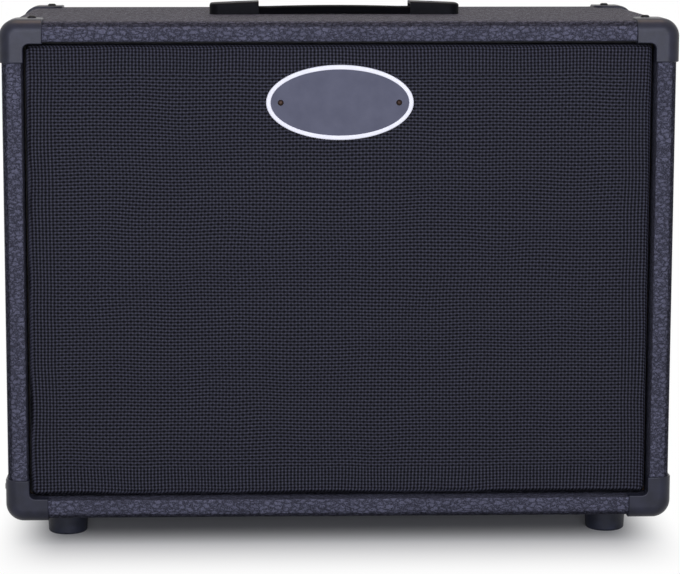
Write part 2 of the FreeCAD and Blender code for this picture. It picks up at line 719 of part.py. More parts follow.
def handle_cap():
    """Right-hand cap over the end of the strap."""
    end_x = HANDLE_L / 2
    half_w = HANDLE_CAP_W / 2
    outline = [V(MOUTH_X, -half_w, Z1), V(end_x, -half_w, Z1),
               V(end_x, -half_w, Z1 + handle_roof(end_x)), V(MOUTH_X, -half_w, Z1 + handle_roof(MOUTH_X))]
    body = polygon_face(outline).extrude(V(0, HANDLE_CAP_W, 0))
    end_edges = [edge for edge in edges_along(body, AXIS_Z) if edge.Vertexes[0].Point.x > MOUTH_X + MARGIN]
    body = body.makeFillet(HANDLE_CAP_END_R, end_edges)
    roof = max(body.Faces, key=lambda face: face.CenterOfMass.z)
    rim = [edge for edge in roof.Edges if edge.CenterOfMass.x > MOUTH_X + MARGIN]
    body = body.makeFillet(HANDLE_CAP_TOP_R, rim)
    inner_x = end_x - HANDLE_CAP_END
    inner_w = half_w - HANDLE_CAP_WALL
    under = HANDLE_CAP_WALL
    room = [V(MOUTH_X - MARGIN, -inner_w, Z1 - MARGIN), V(inner_x, -inner_w, Z1 - MARGIN),
            V(inner_x, -inner_w, Z1 + handle_roof(inner_x) - under),
            V(MOUTH_X - MARGIN, -inner_w, Z1 + handle_roof(MOUTH_X - MARGIN) - under)]
    cavity = polygon_face(room).extrude(V(0, 2 * inner_w, 0))
    boss_top = handle_roof(HANDLE_SCREW_X) - under / 2
    cavity = cavity.cut(rod(V(HANDLE_SCREW_X, 0, Z1), AXIS_Z, HANDLE_BOSS_R, boss_top))
    seat = handle_screw_sites()[1][0]
    sink = rod(seat, AXIS_Z, HANDLE_SCREW.head_r + BOLT_CLEAR, HANDLE_CAP_H)
    holes = screw_holes(HANDLE_SCREW, handle_screw_sites(), BOLT_CLEAR)
    return body.cut([cavity, sink] + holes)


def strap_slots():
    """Slots in the strap's ends that let it move past the bosses in the caps."""
    slots = []
    slot_r = HANDLE_BOSS_R + STRAP_SLOT_GAP
    half = STRAP_SLOT_TRAVEL / 2
    height = 2 * STRAP_T
    for side in (-1, 1):
        x = side * HANDLE_SCREW_X
        ends = [rod(V(x + shift, 0, Z1 - MARGIN), AXIS_Z, slot_r, height) for shift in (-half, half)]
        middle = block(x - half, x + half, -slot_r, slot_r, Z1 - MARGIN, Z1 - MARGIN + height)
        slots.append(fused(ends + [middle]))
    return slots


def strap_core():
    """Spring-steel strip inside the strap."""
    half = HANDLE_L / 2 - HANDLE_CAP_END - STRAP_END_GAP - CORE_END_COVER
    z0 = Z1 + CORE_COVER
    strip = block(-half, half, -CORE_W / 2, CORE_W / 2, z0, z0 + CORE_T)
    return strip.cut(strap_slots())


def handle_strap():
    """Rubber strap: an arched grip with a thinner tongue under each cap."""
    end_x = HANDLE_L / 2 - HANDLE_CAP_END - STRAP_END_GAP
    step_x = MOUTH_X + STRAP_MOUTH_LAP
    arch_x = STRAP_ARCH_HALF
    half_w = STRAP_W / 2

    def point(x, height):
        return V(x, -half_w, Z1 + height)

    top = [point(-arch_x, STRAP_T), point(-step_x, STRAP_T), point(-step_x, STRAP_TONGUE_T),
           point(-end_x, STRAP_TONGUE_T), point(-end_x, 0), point(-arch_x, 0)]
    other = [V(-corner.x, corner.y, corner.z) for corner in top]
    edges = [Part.makeLine(start, end) for start, end in zip(top, top[1:])]
    edges += [Part.makeLine(start, end) for start, end in zip(other, other[1:])]
    edges.append(Part.Arc(top[0], point(0, STRAP_T + STRAP_ARCH), other[0]).toShape())
    edges.append(Part.Arc(top[-1], point(0, STRAP_ARCH), other[-1]).toShape())
    body = closed_face(edges).extrude(V(0, STRAP_W, 0))
    grip_edges = [edge for edge in body.Edges
                  if edge.CenterOfMass.z > Z1 + STRAP_TONGUE_T and abs(edge.CenterOfMass.y) > half_w - 1e-6
                  and edge.BoundBox.XLength > MARGIN]
    body = body.makeFillet(STRAP_EDGE_R, grip_edges)
    return body.cut(strap_slots() + [strap_core()])


def tee_nut(position, direction):
    """Tee nut whose flange lies at a position and whose barrel points along a direction."""
    flange = rod(position - direction * TEE_FLANGE_T, direction, TEE_FLANGE_R, TEE_FLANGE_T)
    barrel = rod(position, direction, TEE_BARREL_R, TEE_BARREL_L)
    start = position - direction * (TEE_FLANGE_T + MARGIN)
    bore = rod(start, direction, BOLT_R + PILOT_CLEAR, TEE_FLANGE_T + TEE_BARREL_L + 2 * MARGIN)
    return fused([flange, barrel]).cut(bore)


def tee_nuts():
    """Tee nuts for the handle's screws and the driver's bolts."""
    nuts = [tee_nut(V(side * HANDLE_SCREW_X, 0, IN_Z1), AXIS_Z) for side in (-1, 1)]
    nuts += [tee_nut(point, AXIS_Y) for point in bolt_circle(BAFFLE_Y0)]
    return Part.makeCompound(nuts)


def tee_holes():
    """Holes in the top panel for the handle's tee nuts."""
    length = PANEL_T + 2 * MARGIN
    return [rod(V(side * HANDLE_SCREW_X, 0, IN_Z1 - MARGIN), AXIS_Z, TEE_BARREL_R + PILOT_CLEAR, length)
            for side in (-1, 1)]


# Grille and badge


def frame_block():
    """Outside of the grille frame as a solid block."""
    return rounded_block(GRILLE_X - CLOTH_T, FRAME_Y0, FRAME_Y1, GRILLE_Z0 + CLOTH_T, GRILLE_Z1 - CLOTH_T,
                         GRILLE_CORNER_R - CLOTH_T, GRILLE_EDGE_R)


def grille_frame():
    """Four rails: the side rails stand between the top and bottom rails."""
    half_x = GRILLE_X - CLOTH_T
    low_z = GRILLE_Z0 + CLOTH_T
    high_z = GRILLE_Z1 - CLOTH_T
    solid = frame_block()
    low = block(-half_x, half_x, FRAME_Y0, FRAME_Y1, low_z, low_z + GRILLE_RAIL_W)
    high = block(-half_x, half_x, FRAME_Y0, FRAME_Y1, high_z - GRILLE_RAIL_W, high_z)
    right = block(half_x - GRILLE_RAIL_W, half_x, FRAME_Y0, FRAME_Y1,
                  low_z + GRILLE_RAIL_W, high_z - GRILLE_RAIL_W)
    rails = [rail.common(solid) for rail in (low, high, right)]
    return Part.makeCompound(rails + [mirrored_x(rails[2])])


def grille_cloth():
    """Cloth over the frame's front and edges, turned onto its back."""
    outside = rounded_block(GRILLE_X, CLOTH_Y, TURN_Y, GRILLE_Z0, GRILLE_Z1,
                            GRILLE_CORNER_R, GRILLE_EDGE_R + CLOTH_T)
    window = block(CLOTH_TURN - GRILLE_X, GRILLE_X - CLOTH_TURN, FRAME_Y1 - MARGIN, TURN_Y + MARGIN,
                   GRILLE_Z0 + CLOTH_TURN, GRILLE_Z1 - CLOTH_TURN)
    return outside.cut([frame_block(), window] + screw_holes(BADGE_SCREW, badge_screw_sites()))


def pads(y0):
    """Fastening pads at one depth: two on each level rail and one on each side rail."""
    half_l = PAD_L / 2
    edge = PAD_EDGE + PAD_W
    shapes = []
    for side in (-1, 1):
        x = side * PAD_SPREAD * GRILLE_X
        for z in (GRILLE_Z0 + PAD_EDGE, GRILLE_Z1 - edge):
            shapes.append(block(x - half_l, x + half_l, y0, y0 + PAD_T, z, z + PAD_W))
    right = block(GRILLE_X - edge, GRILLE_X - PAD_EDGE, y0, y0 + PAD_T, ZC - half_l, ZC + half_l)
    return Part.makeCompound(shapes + [right, mirrored_x(right)])


def ellipse_plate(width, height, y0, y1):
    """Upright oval plate around the badge's centre."""
    oval = Part.Ellipse(ORIGIN, width / 2, height / 2).toShape()
    plate = Part.Face(Part.Wire([oval])).extrude(V(0, 0, y0 - y1))
    plate.Placement = FreeCAD.Placement(V(0, y0, Z1 - BADGE_DROP), FreeCAD.Rotation(AXIS_X, 90))
    return plate


def badge_plate():
    """Oval badge with a raised rim and a bare field."""
    front = CLOTH_Y - BADGE_T
    plate = ellipse_plate(BADGE_W, BADGE_H, front, CLOTH_Y)
    field = ellipse_plate(BADGE_W - 2 * BADGE_RIM, BADGE_H - 2 * BADGE_RIM,
                          front - MARGIN, front + BADGE_FIELD_SINK)
    return plate.cut([field] + screw_holes(BADGE_SCREW, badge_screw_sites()))


def badge_fasteners():
    """Badge screws and the push-on nuts behind the cloth."""
    screws = screw_group(BADGE_SCREW, badge_screw_sites())
    nuts = []
    for seat, facing in badge_screw_sites():
        start = V(seat.x, FRAME_Y0, seat.z)
        disc = rod(start, AXIS_Y, BADGE_NUT_R, BADGE_NUT_T)
        nuts.append(disc.cut(rod(start, AXIS_Y, BADGE_SCREW.shank_r + PILOT_CLEAR, BADGE_NUT_T)))
    return Part.makeCompound(screws.Solids + nuts)


# Driver


def offset_line(points, distance):
    """A line of radius and depth pairs moved sideways by a distance, with mitred corners."""
    normals = []
    for (r0, d0), (r1, d1) in zip(points, points[1:]):
        length = math.hypot(r1 - r0, d1 - d0)
        normals.append(((d1 - d0) / length, (r0 - r1) / length))
    moved = []
    for index, (radius, depth) in enumerate(points):
        before = normals[max(index - 1, 0)]
        after = normals[min(index, len(normals) - 1)]
        mitre = distance / (1 + before[0] * after[0] + before[1] * after[1])
        moved.append((radius + mitre * (before[0] + after[0]), depth + mitre * (before[1] + after[1])))
    return moved


def basket_line():
    """Front side of the pressed basket, from its rim to the middle."""
    rim = GASKET_T
    ledge = GASKET_T + EDGE_T
    return [(DRIVER_R, rim), (LEDGE_R, rim), (LEDGE_R, ledge), (WALL_TOP_R, ledge),
            (LANDING_R, LANDING_DEPTH), (LANDING_INNER_R, LANDING_DEPTH),
            (WELL_R, WELL_DEPTH), (WELL_HOLE_R, WELL_DEPTH)]


def basket_windows():
    """Openings between the basket's spokes."""
    top_r, top_d = WALL_TOP_R, GASKET_T + EDGE_T
    wall = []
    for share in (WINDOW_START, WINDOW_END):
        wall.append((top_r + share * (LANDING_R - top_r), top_d + share * (LANDING_DEPTH - top_d)))
    reach = 4 * BASKET_T
    corners = offset_line(wall, reach) + offset_line(wall, -reach)[::-1]
    face = closed_face(line_edges(corners + corners[:1]))
    windows = []
    for index in range(WINDOW_COUNT):
        window = face.revolve(ORIGIN, AXIS_Y, WINDOW_ANGLE)
        window.rotate(ORIGIN, AXIS_Y, index * 360.0 / WINDOW_COUNT - WINDOW_ANGLE / 2)
        window.translate(V(0, BAFFLE_Y1, ZC))
        windows.append(window)
    return windows


def speaker_basket():
    """Pressed basket with spokes, bolt holes and a landing for the spider."""
    front = basket_line()
    back = offset_line(front, BASKET_T)[::-1]
    solid = spun(line_edges(front + back + front[:1]))
    return solid.cut(basket_windows() + bolt_holes(BOLT_R + BOLT_CLEAR))


def speaker_gasket():
    """Gasket between the baffle and the basket's rim."""
    return ring(GASKET_INNER_R, DRIVER_R - GASKET_MARGIN, 0, GASKET_T).cut(bolt_holes(BOLT_R + BOLT_CLEAR))


def cone_surround():
    """Corrugated edge from the basket's ledge to the cone."""
    inner_r = CONE_R - CONE_LAP
    outer_r = LEDGE_R - GLUE_GAP
    depth = GASKET_T
    front = line_edges([(inner_r, depth), (CONE_R, depth)])
    front += wave_edges(CONE_R, WALL_TOP_R, depth, EDGE_WAVES)
    front += line_edges([(WALL_TOP_R, depth), (outer_r, depth)])
    return spun_sheet(front, EDGE_T)


def cone_arc():
    """Front line of the cone's curved wall, from its flat edge to its neck."""
    start = V(CONE_R - CONE_LAP, GASKET_T + EDGE_T, 0)
    neck = V(NECK_R, NECK_DEPTH, 0)
    return Part.Arc(start, (start + neck) / 2 - V(0, CONE_BOW, 0), neck)


def cone_depth(radius):
    """Depth of the cone's front at a radius."""
    upright = Part.makeLine(V(radius, -NECK_DEPTH, 0), V(radius, 2 * NECK_DEPTH, 0))
    return cone_arc().toShape().distToShape(upright)[1][0][0].y


def speaker_cone():
    """Paper cone with a flat edge under the surround."""
    depth = GASKET_T + EDGE_T
    front = line_edges([(CONE_R, depth), (CONE_R - CONE_LAP, depth)]) + [cone_arc().toShape()]
    return spun_sheet(front, CONE_T)


def dust_cap():
    """Domed cap over the middle of the cone."""
    rim = cone_depth(DUST_CAP_R) - DUST_CAP_T - GLUE_GAP
    bow_r = (DUST_CAP_R ** 2 + DUST_CAP_H ** 2) / (2 * DUST_CAP_H)
    middle_r = DUST_CAP_R / 2
    crown = rim - DUST_CAP_H
    middle = crown + bow_r - math.sqrt(bow_r ** 2 - middle_r ** 2)
    dome = Part.Arc(V(0, crown, 0), V(middle_r, middle, 0), V(DUST_CAP_R, rim, 0))
    return spun_sheet([dome.toShape()], DUST_CAP_T)


def spider():
    """Corrugated centring disc between the basket's landing and the coil."""
    neck_r = NECK_R + SPIDER_NECK_RIM
    rim_r = SPIDER_R - SPIDER_RIM
    depth = LANDING_DEPTH - SPIDER_T
    front = line_edges([(NECK_R, depth), (neck_r, depth)])
    front += wave_edges(neck_r, rim_r, depth, SPIDER_WAVES)
    front += line_edges([(rim_r, depth), (SPIDER_R, depth)])
    return spun_sheet(front, SPIDER_T)


def voice_coil_former():
    """Thin tube from the cone's neck into the magnet's gap."""
    return ring(COIL_R, COIL_R + FORMER_T, FORMER_TOP, FORMER_TOP + FORMER_L)


def voice_coil_winding():
    """Copper winding in the gap, centred on the top plate."""
    middle = TOP_PLATE_Y + TOP_PLATE_T / 2
    inner = COIL_R + FORMER_T
    return ring(inner, inner + WINDING_T, middle - WINDING_L / 2, middle + WINDING_L / 2)


def motor_yoke():
    """Back plate and pole in one steel piece."""
    end = BACK_PLATE_Y + BACK_PLATE_T
    top = TOP_PLATE_Y - POLE_ABOVE
    outline = [(0, top), (POLE_R, top), (POLE_R, BACK_PLATE_Y), (BACK_PLATE_R, BACK_PLATE_Y),
               (BACK_PLATE_R, end), (0, end)]
    return spun(line_edges(outline + outline[:1]))


def terminal_board():
    """Insulating board on the back of the basket's landing."""
    y = BAFFLE_Y1 + LANDING_DEPTH + BASKET_T
    z = ZC - TERMINAL_R
    return block(-TERMINAL_W / 2, TERMINAL_W / 2, y, y + TERMINAL_T, z - TERMINAL_H / 2, z + TERMINAL_H / 2)


def terminal_tab_end():
    """Depth and height of the tabs' outer ends, in the middle of their thickness."""
    y = BAFFLE_Y1 + LANDING_DEPTH + BASKET_T + TERMINAL_T + TAB_T / 2
    return y, ZC - TERMINAL_R - TERMINAL_H / 2 - TAB_OUT


def terminal_tabs():
    """Two push-on tabs that point down from the terminal board."""
    y, z = terminal_tab_end()
    x = TAB_PITCH / 2
    right = block(x - TAB_W / 2, x + TAB_W / 2, y - TAB_T / 2, y + TAB_T / 2, z, z + TAB_L)
    return Part.makeCompound([right, mirrored_x(right)])


def tinsel_leads():
    """Flexible leads from the terminal board, through a window, to the back of the cone."""
    x = TINSEL_PITCH / 2
    y = BAFFLE_Y1
    board_y = y + LANDING_DEPTH + BASKET_T + TERMINAL_T / 2
    board_z = ZC - TERMINAL_R - TERMINAL_H / 2
    gate_r = WALL_TOP_R + WINDOW_END * (LANDING_R - WALL_TOP_R)
    gate_d = GASKET_T + EDGE_T + WINDOW_END * (LANDING_DEPTH - GASKET_T - EDGE_T)
    cone_y = y + cone_depth(TINSEL_END_R) + 2 * CONE_T + TINSEL_R
    points = [V(x, board_y, board_z), V(x, board_y, board_z - TINSEL_LOOP),
              V(x, y + gate_d, ZC - gate_r - TINSEL_LOOP), V(x, y + gate_d - TINSEL_STEP, ZC - gate_r),
              V(x, cone_y, ZC - TINSEL_END_R)]
    right = tube(points, TINSEL_R)
    return Part.makeCompound([right, mirrored_x(right)])


# Jack and leads


def jack_plate():
    """Steel plate that carries the jack."""
    half = JACK_PLATE / 2
    y1 = REAR_Y1 + JACK_PLATE_T
    plate = block(-half, half, REAR_Y1, y1, JACK_Z - half, JACK_Z + half)
    plate = plate.makeFillet(JACK_PLATE_R, edges_along(plate, AXIS_Y))
    hole = rod(V(0, REAR_Y1 - MARGIN, JACK_Z), AXIS_Y, JACK_BUSH_R + JACK_BUSH_CLEAR,
               JACK_PLATE_T + 2 * MARGIN)
    return plate.cut([hole] + screw_holes(PLATE_SCREW, plate_screw_sites()))


def jack_mouth_y():
    """Depth of the jack's open end."""
    return REAR_Y1 + JACK_PLATE_T + JACK_WASHER_T + JACK_NUT_T + JACK_BUSH_SHOWS


def input_jack():
    """Moulded jack with a threaded bush, a blind bore and two solder lugs."""
    half = JACK_BODY / 2
    back = REAR_Y1 - JACK_BODY_L
    body = block(-half, half, back, REAR_Y1, JACK_Z - half, JACK_Z + half)
    bush = rod(V(0, REAR_Y1 - MARGIN, JACK_Z), AXIS_Y, JACK_BUSH_R, jack_mouth_y() - REAR_Y1 + MARGIN)
    lugs = []
    for side in (-1, 1):
        x = side * JACK_LUG_PITCH / 2
        lugs.append(block(x - JACK_LUG_W / 2, x + JACK_LUG_W / 2, back - JACK_LUG_L, back + MARGIN,
                          JACK_Z - JACK_LUG_T / 2, JACK_Z + JACK_LUG_T / 2))
    bore = rod(V(0, jack_mouth_y() - JACK_BORE_L, JACK_Z), AXIS_Y, JACK_BORE_R, JACK_BORE_L + MARGIN)
    return fused([body, bush] + lugs).cut(bore)


def jack_nut():
    """Washer and hexagon nut on the jack's bush."""
    start = REAR_Y1 + JACK_PLATE_T
    hole = rod(V(0, start - MARGIN, JACK_Z), AXIS_Y, JACK_BUSH_R + JACK_BUSH_CLEAR,
               JACK_WASHER_T + JACK_NUT_T + 2 * MARGIN)
    washer = rod(V(0, start, JACK_Z), AXIS_Y, JACK_WASHER_R, JACK_WASHER_T).cut(hole)
    nut_y = start + JACK_WASHER_T
    corners = []
    for index in range(6):
        angle = math.radians(60 * index)
        corners.append(V(JACK_NUT_R * math.cos(angle), nut_y, JACK_Z + JACK_NUT_R * math.sin(angle)))
    nut = polygon_face(corners).extrude(V(0, JACK_NUT_T, 0)).cut(hole)
    return Part.makeCompound([washer, nut])


def speaker_leads():
    """Two leads that hang between the driver's tabs and the jack's lugs."""
    tab_y, tab_z = terminal_tab_end()
    lug_y = REAR_Y1 - JACK_BODY_L - JACK_LUG_L
    tab_x = TAB_PITCH / 2
    lug_x = JACK_LUG_PITCH / 2
    low = min(tab_z - LEAD_DROP, JACK_Z) - LEAD_SAG / 2
    points = [V(tab_x, tab_y, tab_z), V(tab_x, tab_y, tab_z - LEAD_DROP),
              V((tab_x + lug_x) / 2, (tab_y + lug_y) / 2, low),
              V(lug_x, lug_y - LEAD_RUN_IN, JACK_Z), V(lug_x, lug_y, JACK_Z)]
    right = tube(points, LEAD_R)
    return Part.makeCompound([right, mirrored_x(right)])


def save(name, shape):
    """Write one piece of the assembly."""
    shape.exportStep("parts/" + name + ".step")


def save_box():
    """Panels, covering, battens, boards and their screws."""
    holes = screw_holes(CORNER_SCREW, corner_screw_sites())
    save("top_panel", level_panel(1).cut(holes + tee_holes()))
    save("bottom_panel", level_panel(-1).cut(holes + screw_holes(FOOT_SCREW, foot_screw_sites())))
    save("left_panel", side_panel(-1).cut(holes))
    save("right_panel", side_panel(1).cut(holes))
    save("vinyl_covering", vinyl_covering())
    save("baffle_battens", baffle_battens())
    save("rear_battens", rear_battens())
    save("baffle_board", baffle_board())
    save("baffle_screws", screw_group(BAFFLE_SCREW, baffle_screw_sites()))
    save("rear_panel", rear_panel())
    save("rear_panel_screws", screw_group(REAR_SCREW, rear_screw_sites()))


def save_corners():
    """Eight corner protectors, mirrored from one, and their screws."""
    pattern = corner_protector()
    for level, level_shape in (("top", pattern), ("bottom", mirrored_z(pattern))):
        for end, end_shape in (("front", level_shape), ("rear", mirrored_y(level_shape))):
            save("corner_" + end + "_" + level + "_right", end_shape)
            save("corner_" + end + "_" + level + "_left", mirrored_x(end_shape))
    save("corner_screws", screw_group(CORNER_SCREW, corner_screw_sites()))


def save_feet_and_handle():
    """Feet, handle and the pieces that hold them."""
    pattern = foot()
    for centre in foot_centres():
        end = "front" if centre.y < 0 else "rear"
        side = "left" if centre.x < 0 else "right"
        save("foot_" + end + "_" + side, pattern.translated(centre))
    save("foot_washers", foot_washers())
    save("foot_screws", screw_group(FOOT_SCREW, foot_screw_sites()))
    cap = handle_cap()
    save("handle_cap_right", cap)
    save("handle_cap_left", mirrored_x(cap))
    save("handle_strap", handle_strap())
    save("strap_core", strap_core())
    save("handle_screws", screw_group(HANDLE_SCREW, handle_screw_sites()))
    save("tee_nuts", tee_nuts())


def save_grille():
    """Grille frame, cloth, fastening pads and badge."""
    save("grille_frame", grille_frame())
    save("grille_cloth", grille_cloth())
    save("loop_pads", pads(TURN_Y))
    save("hook_pads", pads(LOOP_Y))
    save("badge_plate", badge_plate())
    save("badge_fasteners", badge_fasteners())


def save_driver():
    """Driver pieces from the gasket back to the magnet, and the driver's wiring."""
    bolts = [(point, AXIS_Y) for point in bolt_circle(BAFFLE_Y1 + GASKET_T + BASKET_T)]
    save("speaker_basket", speaker_basket())
    save("speaker_gasket", speaker_gasket())
    save("cone_surround", cone_surround())
    save("speaker_cone", speaker_cone())
    save("dust_cap", dust_cap())
    save("voice_coil_former", voice_coil_former())
    save("voice_coil_winding", voice_coil_winding())
    save("spider", spider())
    save("motor_top_plate", ring(TOP_PLATE_HOLE_R, TOP_PLATE_R, TOP_PLATE_Y, MAGNET_Y))
    save("ceramic_magnet", ring(MAGNET_INNER_R, MAGNET_R, MAGNET_Y, BACK_PLATE_Y))
    save("motor_yoke", motor_yoke())
    save("terminal_board", terminal_board())
    save("terminal_tabs", terminal_tabs())
    save("tinsel_leads", tinsel_leads())
    save("speaker_bolts", screw_group(SPEAKER_BOLT, bolts))
    save("jack_plate", jack_plate())
    save("jack_plate_screws", screw_group(PLATE_SCREW, plate_screw_sites()))
    save("input_jack", input_jack())
    save("jack_nut", jack_nut())
    save("speaker_leads", speaker_leads())


os.makedirs("parts", exist_ok=True)
save_box()
save_corners()
save_feet_and_handle()
save_grille()
save_driver()
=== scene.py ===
"""Looks of the speaker cabinet: covering, grille, badge, fasteners, finishes and a plain studio."""

import logging
import math
from dataclasses import dataclass, field
from enum import Enum

import bmesh
import bpy
from mathutils import Euler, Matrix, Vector


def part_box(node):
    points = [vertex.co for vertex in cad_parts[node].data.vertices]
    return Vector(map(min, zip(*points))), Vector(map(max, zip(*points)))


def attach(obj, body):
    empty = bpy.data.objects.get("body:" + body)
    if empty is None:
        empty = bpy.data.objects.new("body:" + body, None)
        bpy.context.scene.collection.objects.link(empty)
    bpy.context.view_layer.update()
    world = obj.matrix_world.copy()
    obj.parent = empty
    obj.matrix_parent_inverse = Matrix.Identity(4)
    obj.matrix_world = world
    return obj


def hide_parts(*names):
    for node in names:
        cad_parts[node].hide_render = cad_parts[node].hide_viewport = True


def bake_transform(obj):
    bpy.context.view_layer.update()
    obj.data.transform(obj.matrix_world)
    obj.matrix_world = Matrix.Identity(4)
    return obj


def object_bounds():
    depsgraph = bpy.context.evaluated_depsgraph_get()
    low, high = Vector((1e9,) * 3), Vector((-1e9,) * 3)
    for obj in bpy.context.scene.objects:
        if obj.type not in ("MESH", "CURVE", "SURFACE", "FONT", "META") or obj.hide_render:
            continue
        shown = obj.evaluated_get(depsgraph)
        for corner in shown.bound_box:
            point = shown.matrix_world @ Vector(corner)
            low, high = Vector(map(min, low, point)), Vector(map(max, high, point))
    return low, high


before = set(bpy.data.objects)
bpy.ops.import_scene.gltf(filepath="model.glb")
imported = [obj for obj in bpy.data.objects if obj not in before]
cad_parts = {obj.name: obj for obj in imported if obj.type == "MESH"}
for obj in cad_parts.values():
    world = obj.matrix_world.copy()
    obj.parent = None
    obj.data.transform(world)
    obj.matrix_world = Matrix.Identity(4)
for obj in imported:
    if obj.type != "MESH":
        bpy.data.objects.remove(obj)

MM = 0.001
CAD_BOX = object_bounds()
LOG = logging.getLogger("cabinet")

# Points of a copied CAD node that are closer than this are one point.
WELD = 0.002 * MM
# Places that are closer than this count as one place.
TOUCH = 0.01 * MM
# Width of the grille frame's rails.
RAIL = 20 * MM
# Edges that turn by more than this stay sharp, in degrees.
SHARP_TURN = 40.0
# How strongly large faces pull the shading flat, where 50 is even.
FLAT_PULL = 100

# Blender's names for the kinds of node that are used most.
MATH = "ShaderNodeMath"
VECTOR_MATH = "ShaderNodeVectorMath"
MAP_RANGE = "ShaderNodeMapRange"
NOISE = "ShaderNodeTexNoise"
VORONOI = "ShaderNodeTexVoronoi"
COORDINATES = "ShaderNodeTexCoord"
SEPARATE = "ShaderNodeSeparateXYZ"
COMBINE = "ShaderNodeCombineXYZ"
MIX = "ShaderNodeMix"
MIX_SHADER = "ShaderNodeMixShader"
BACKGROUND = "ShaderNodeBackground"
SURFACE = "ShaderNodeOutputMaterial"
TRANSFORM = "GeometryNodeTransform"

# Places of inputs that share a name: the colours of Mix, and the largest Random Value.
MIX_FACTOR = 0
MIX_DARK = 6
MIX_LIGHT = 7
RANDOM_MOST = 3

# Middle of a noise's colour, finer layers of a cloud, and the part of its range that shows.
NOISE_MIDDLE = (0.5, 0.5, 0.5)
CLOUD_DETAIL = 4.0
CLOUD_SPAN = (0.3, 0.7)

Tree = bpy.types.NodeTree
Node = bpy.types.Node
Socket = bpy.types.NodeSocket
Piece = bpy.types.Object
Source = Node | Socket
Setting = Source | Piece | bpy.types.Material | float | str | tuple[float, ...]
Pair = tuple[float, float]
Triple = tuple[float, float, float]
Ring = list[Vector]


def linear(colour: str) -> tuple[float, float, float, float]:
    """Turn an sRGB hex colour into the linear values that shaders take.

    Args:
        colour: The colour as a hash sign and six hex digits.

    Returns:
        Red, green and blue in linear light, and full alpha.
    """
    shares = [int(colour[at:at + 2], 16) / 255 for at in (1, 3, 5)]
    red, green, blue = [
        share / 12.92 if share <= 0.04045 else ((share + 0.055) / 1.055) ** 2.4
        for share in shares
    ]
    return red, green, blue, 1.0


def add_node(
    tree: Tree, kind: str, inputs: dict[str | int, Setting] | None = None, **settings: object
) -> Node:
    """Add a node to a tree, set it up and connect it.

    Args:
        tree: The tree that gets the node.
        kind: Blender's own name for the kind of node.
        inputs: What each input gets, by its name or place: a value, another node's output, or
            another node, which then gives its first open output.
        settings: Properties of the node itself.

    Returns:
        The new node.
    """
    node = tree.nodes.new(kind)
    for name, value in settings.items():
        setattr(node, name, value)
    for name, value in (inputs or {}).items():
        if isinstance(value, Node):
            value = next(output for output in value.outputs if output.enabled)
        if isinstance(value, Socket):
            tree.links.new(value, node.inputs[name])
        else:
            node.inputs[name].default_value = value
    return node


def bare_tree(owner: bpy.types.Material | bpy.types.World) -> Tree:
    """Turn on the nodes of a material or world and take the first ones away.

    Args:
        owner: The material or world.

    Returns:
        Its empty tree.
    """
    owner.use_nodes = True
    owner.node_tree.nodes.clear()
    return owner.node_tree


class Grain(Enum):
    """How a pattern is drawn out along X, Y and Z."""

    EVEN = (1.0, 1.0, 1.0)
    ALONG_X = (0.05, 1.0, 1.0)


@dataclass(frozen=True)
class Finish:
    """Two tones in soft patches under a fine surface grain.

    Args:
        name: The real material and how its surface was made.
        dark: The darker tone.
        light: The lighter tone.
        patch_mm: Size of the patches of tone.
        grain_mm: Size of the surface grain.
        relief_mm: Depth of the surface grain.
        smooth: Roughness of the high places, which hands and cloths polish.
        rough: Roughness of the low places.
        metallic: 1 for a bare metal.
        specular: Specular level, 0.5 for most materials.
        sheen: Amount of fibre sheen.
        grain: How the pattern is drawn out.
    """

    name: str
    dark: str
    light: str
    patch_mm: float
    grain_mm: float
    relief_mm: float
    smooth: float
    rough: float
    metallic: float = 0.0
    specular: float = 0.5
    sheen: float = 0.0
    grain: Grain = Grain.EVEN

    def build(self) -> bpy.types.Material:
        """Make the Blender material.

        Returns:
            The material, named for the real one.
        """
        material = bpy.data.materials.new(self.name)
        tree = bare_tree(material)
        where = add_node(tree, COORDINATES).outputs["Object"]
        place = add_node(tree, "ShaderNodeMapping", {"Vector": where, "Scale": self.grain.value})
        height = self.height(tree, place)
        ends = {"To Min": self.rough, "To Max": self.smooth}
        gloss = add_node(tree, MAP_RANGE, {"Value": height, **ends})
        relief = {"Height": height, "Distance": self.relief_mm * MM}
        shader = add_node(tree, "ShaderNodeBsdfPrincipled", {
            "Base Color": self.colour(tree, place, height),
            "Roughness": gloss,
            "Normal": add_node(tree, "ShaderNodeBump", relief),
            "Metallic": self.metallic,
            "Specular IOR Level": self.specular,
            "Sheen Weight": self.sheen,
        })
        add_node(tree, SURFACE, {"Surface": shader})
        return material

    def height(self, tree: Tree, place: Source) -> Node:
        """Height of the surface grain, from 0 to 1."""
        return self.cloud(tree, place, self.grain_mm)

    def colour(self, tree: Tree, place: Source, height: Source) -> Node:
        """Colour of the surface: the two tones in soft patches."""
        return self.tones(tree, self.cloud(tree, place, self.patch_mm), self.dark, self.light)

    def cloud(self, tree: Tree, place: Source, size_mm: float) -> Node:
        """Cloudy pattern of one size, spread over 0 to 1.

        Args:
            tree: The material's tree.
            place: Where on the piece the pattern is read.
            size_mm: Size of its patches.

        Returns:
            The pattern.
        """
        scale = 1 / (size_mm * MM)
        noise = add_node(tree, NOISE, {"Vector": place, "Scale": scale, "Detail": CLOUD_DETAIL})
        low, high = CLOUD_SPAN
        return add_node(tree, MAP_RANGE, {"Value": noise, "From Min": low, "From Max": high})

    def tones(self, tree: Tree, factor: Source, dark: str | Source, light: str | Source) -> Node:
        """Blend of two tones.

        Args:
            tree: The material's tree.
            factor: 0 for the dark tone and 1 for the light one.
            dark: The dark tone.
            light: The light tone.

        Returns:
            The blend.
        """
        ends = [linear(tone) if isinstance(tone, str) else tone for tone in (dark, light)]
        inputs = {MIX_FACTOR: factor, MIX_DARK: ends[0], MIX_LIGHT: ends[1]}
        return add_node(tree, MIX, inputs, data_type="RGBA")


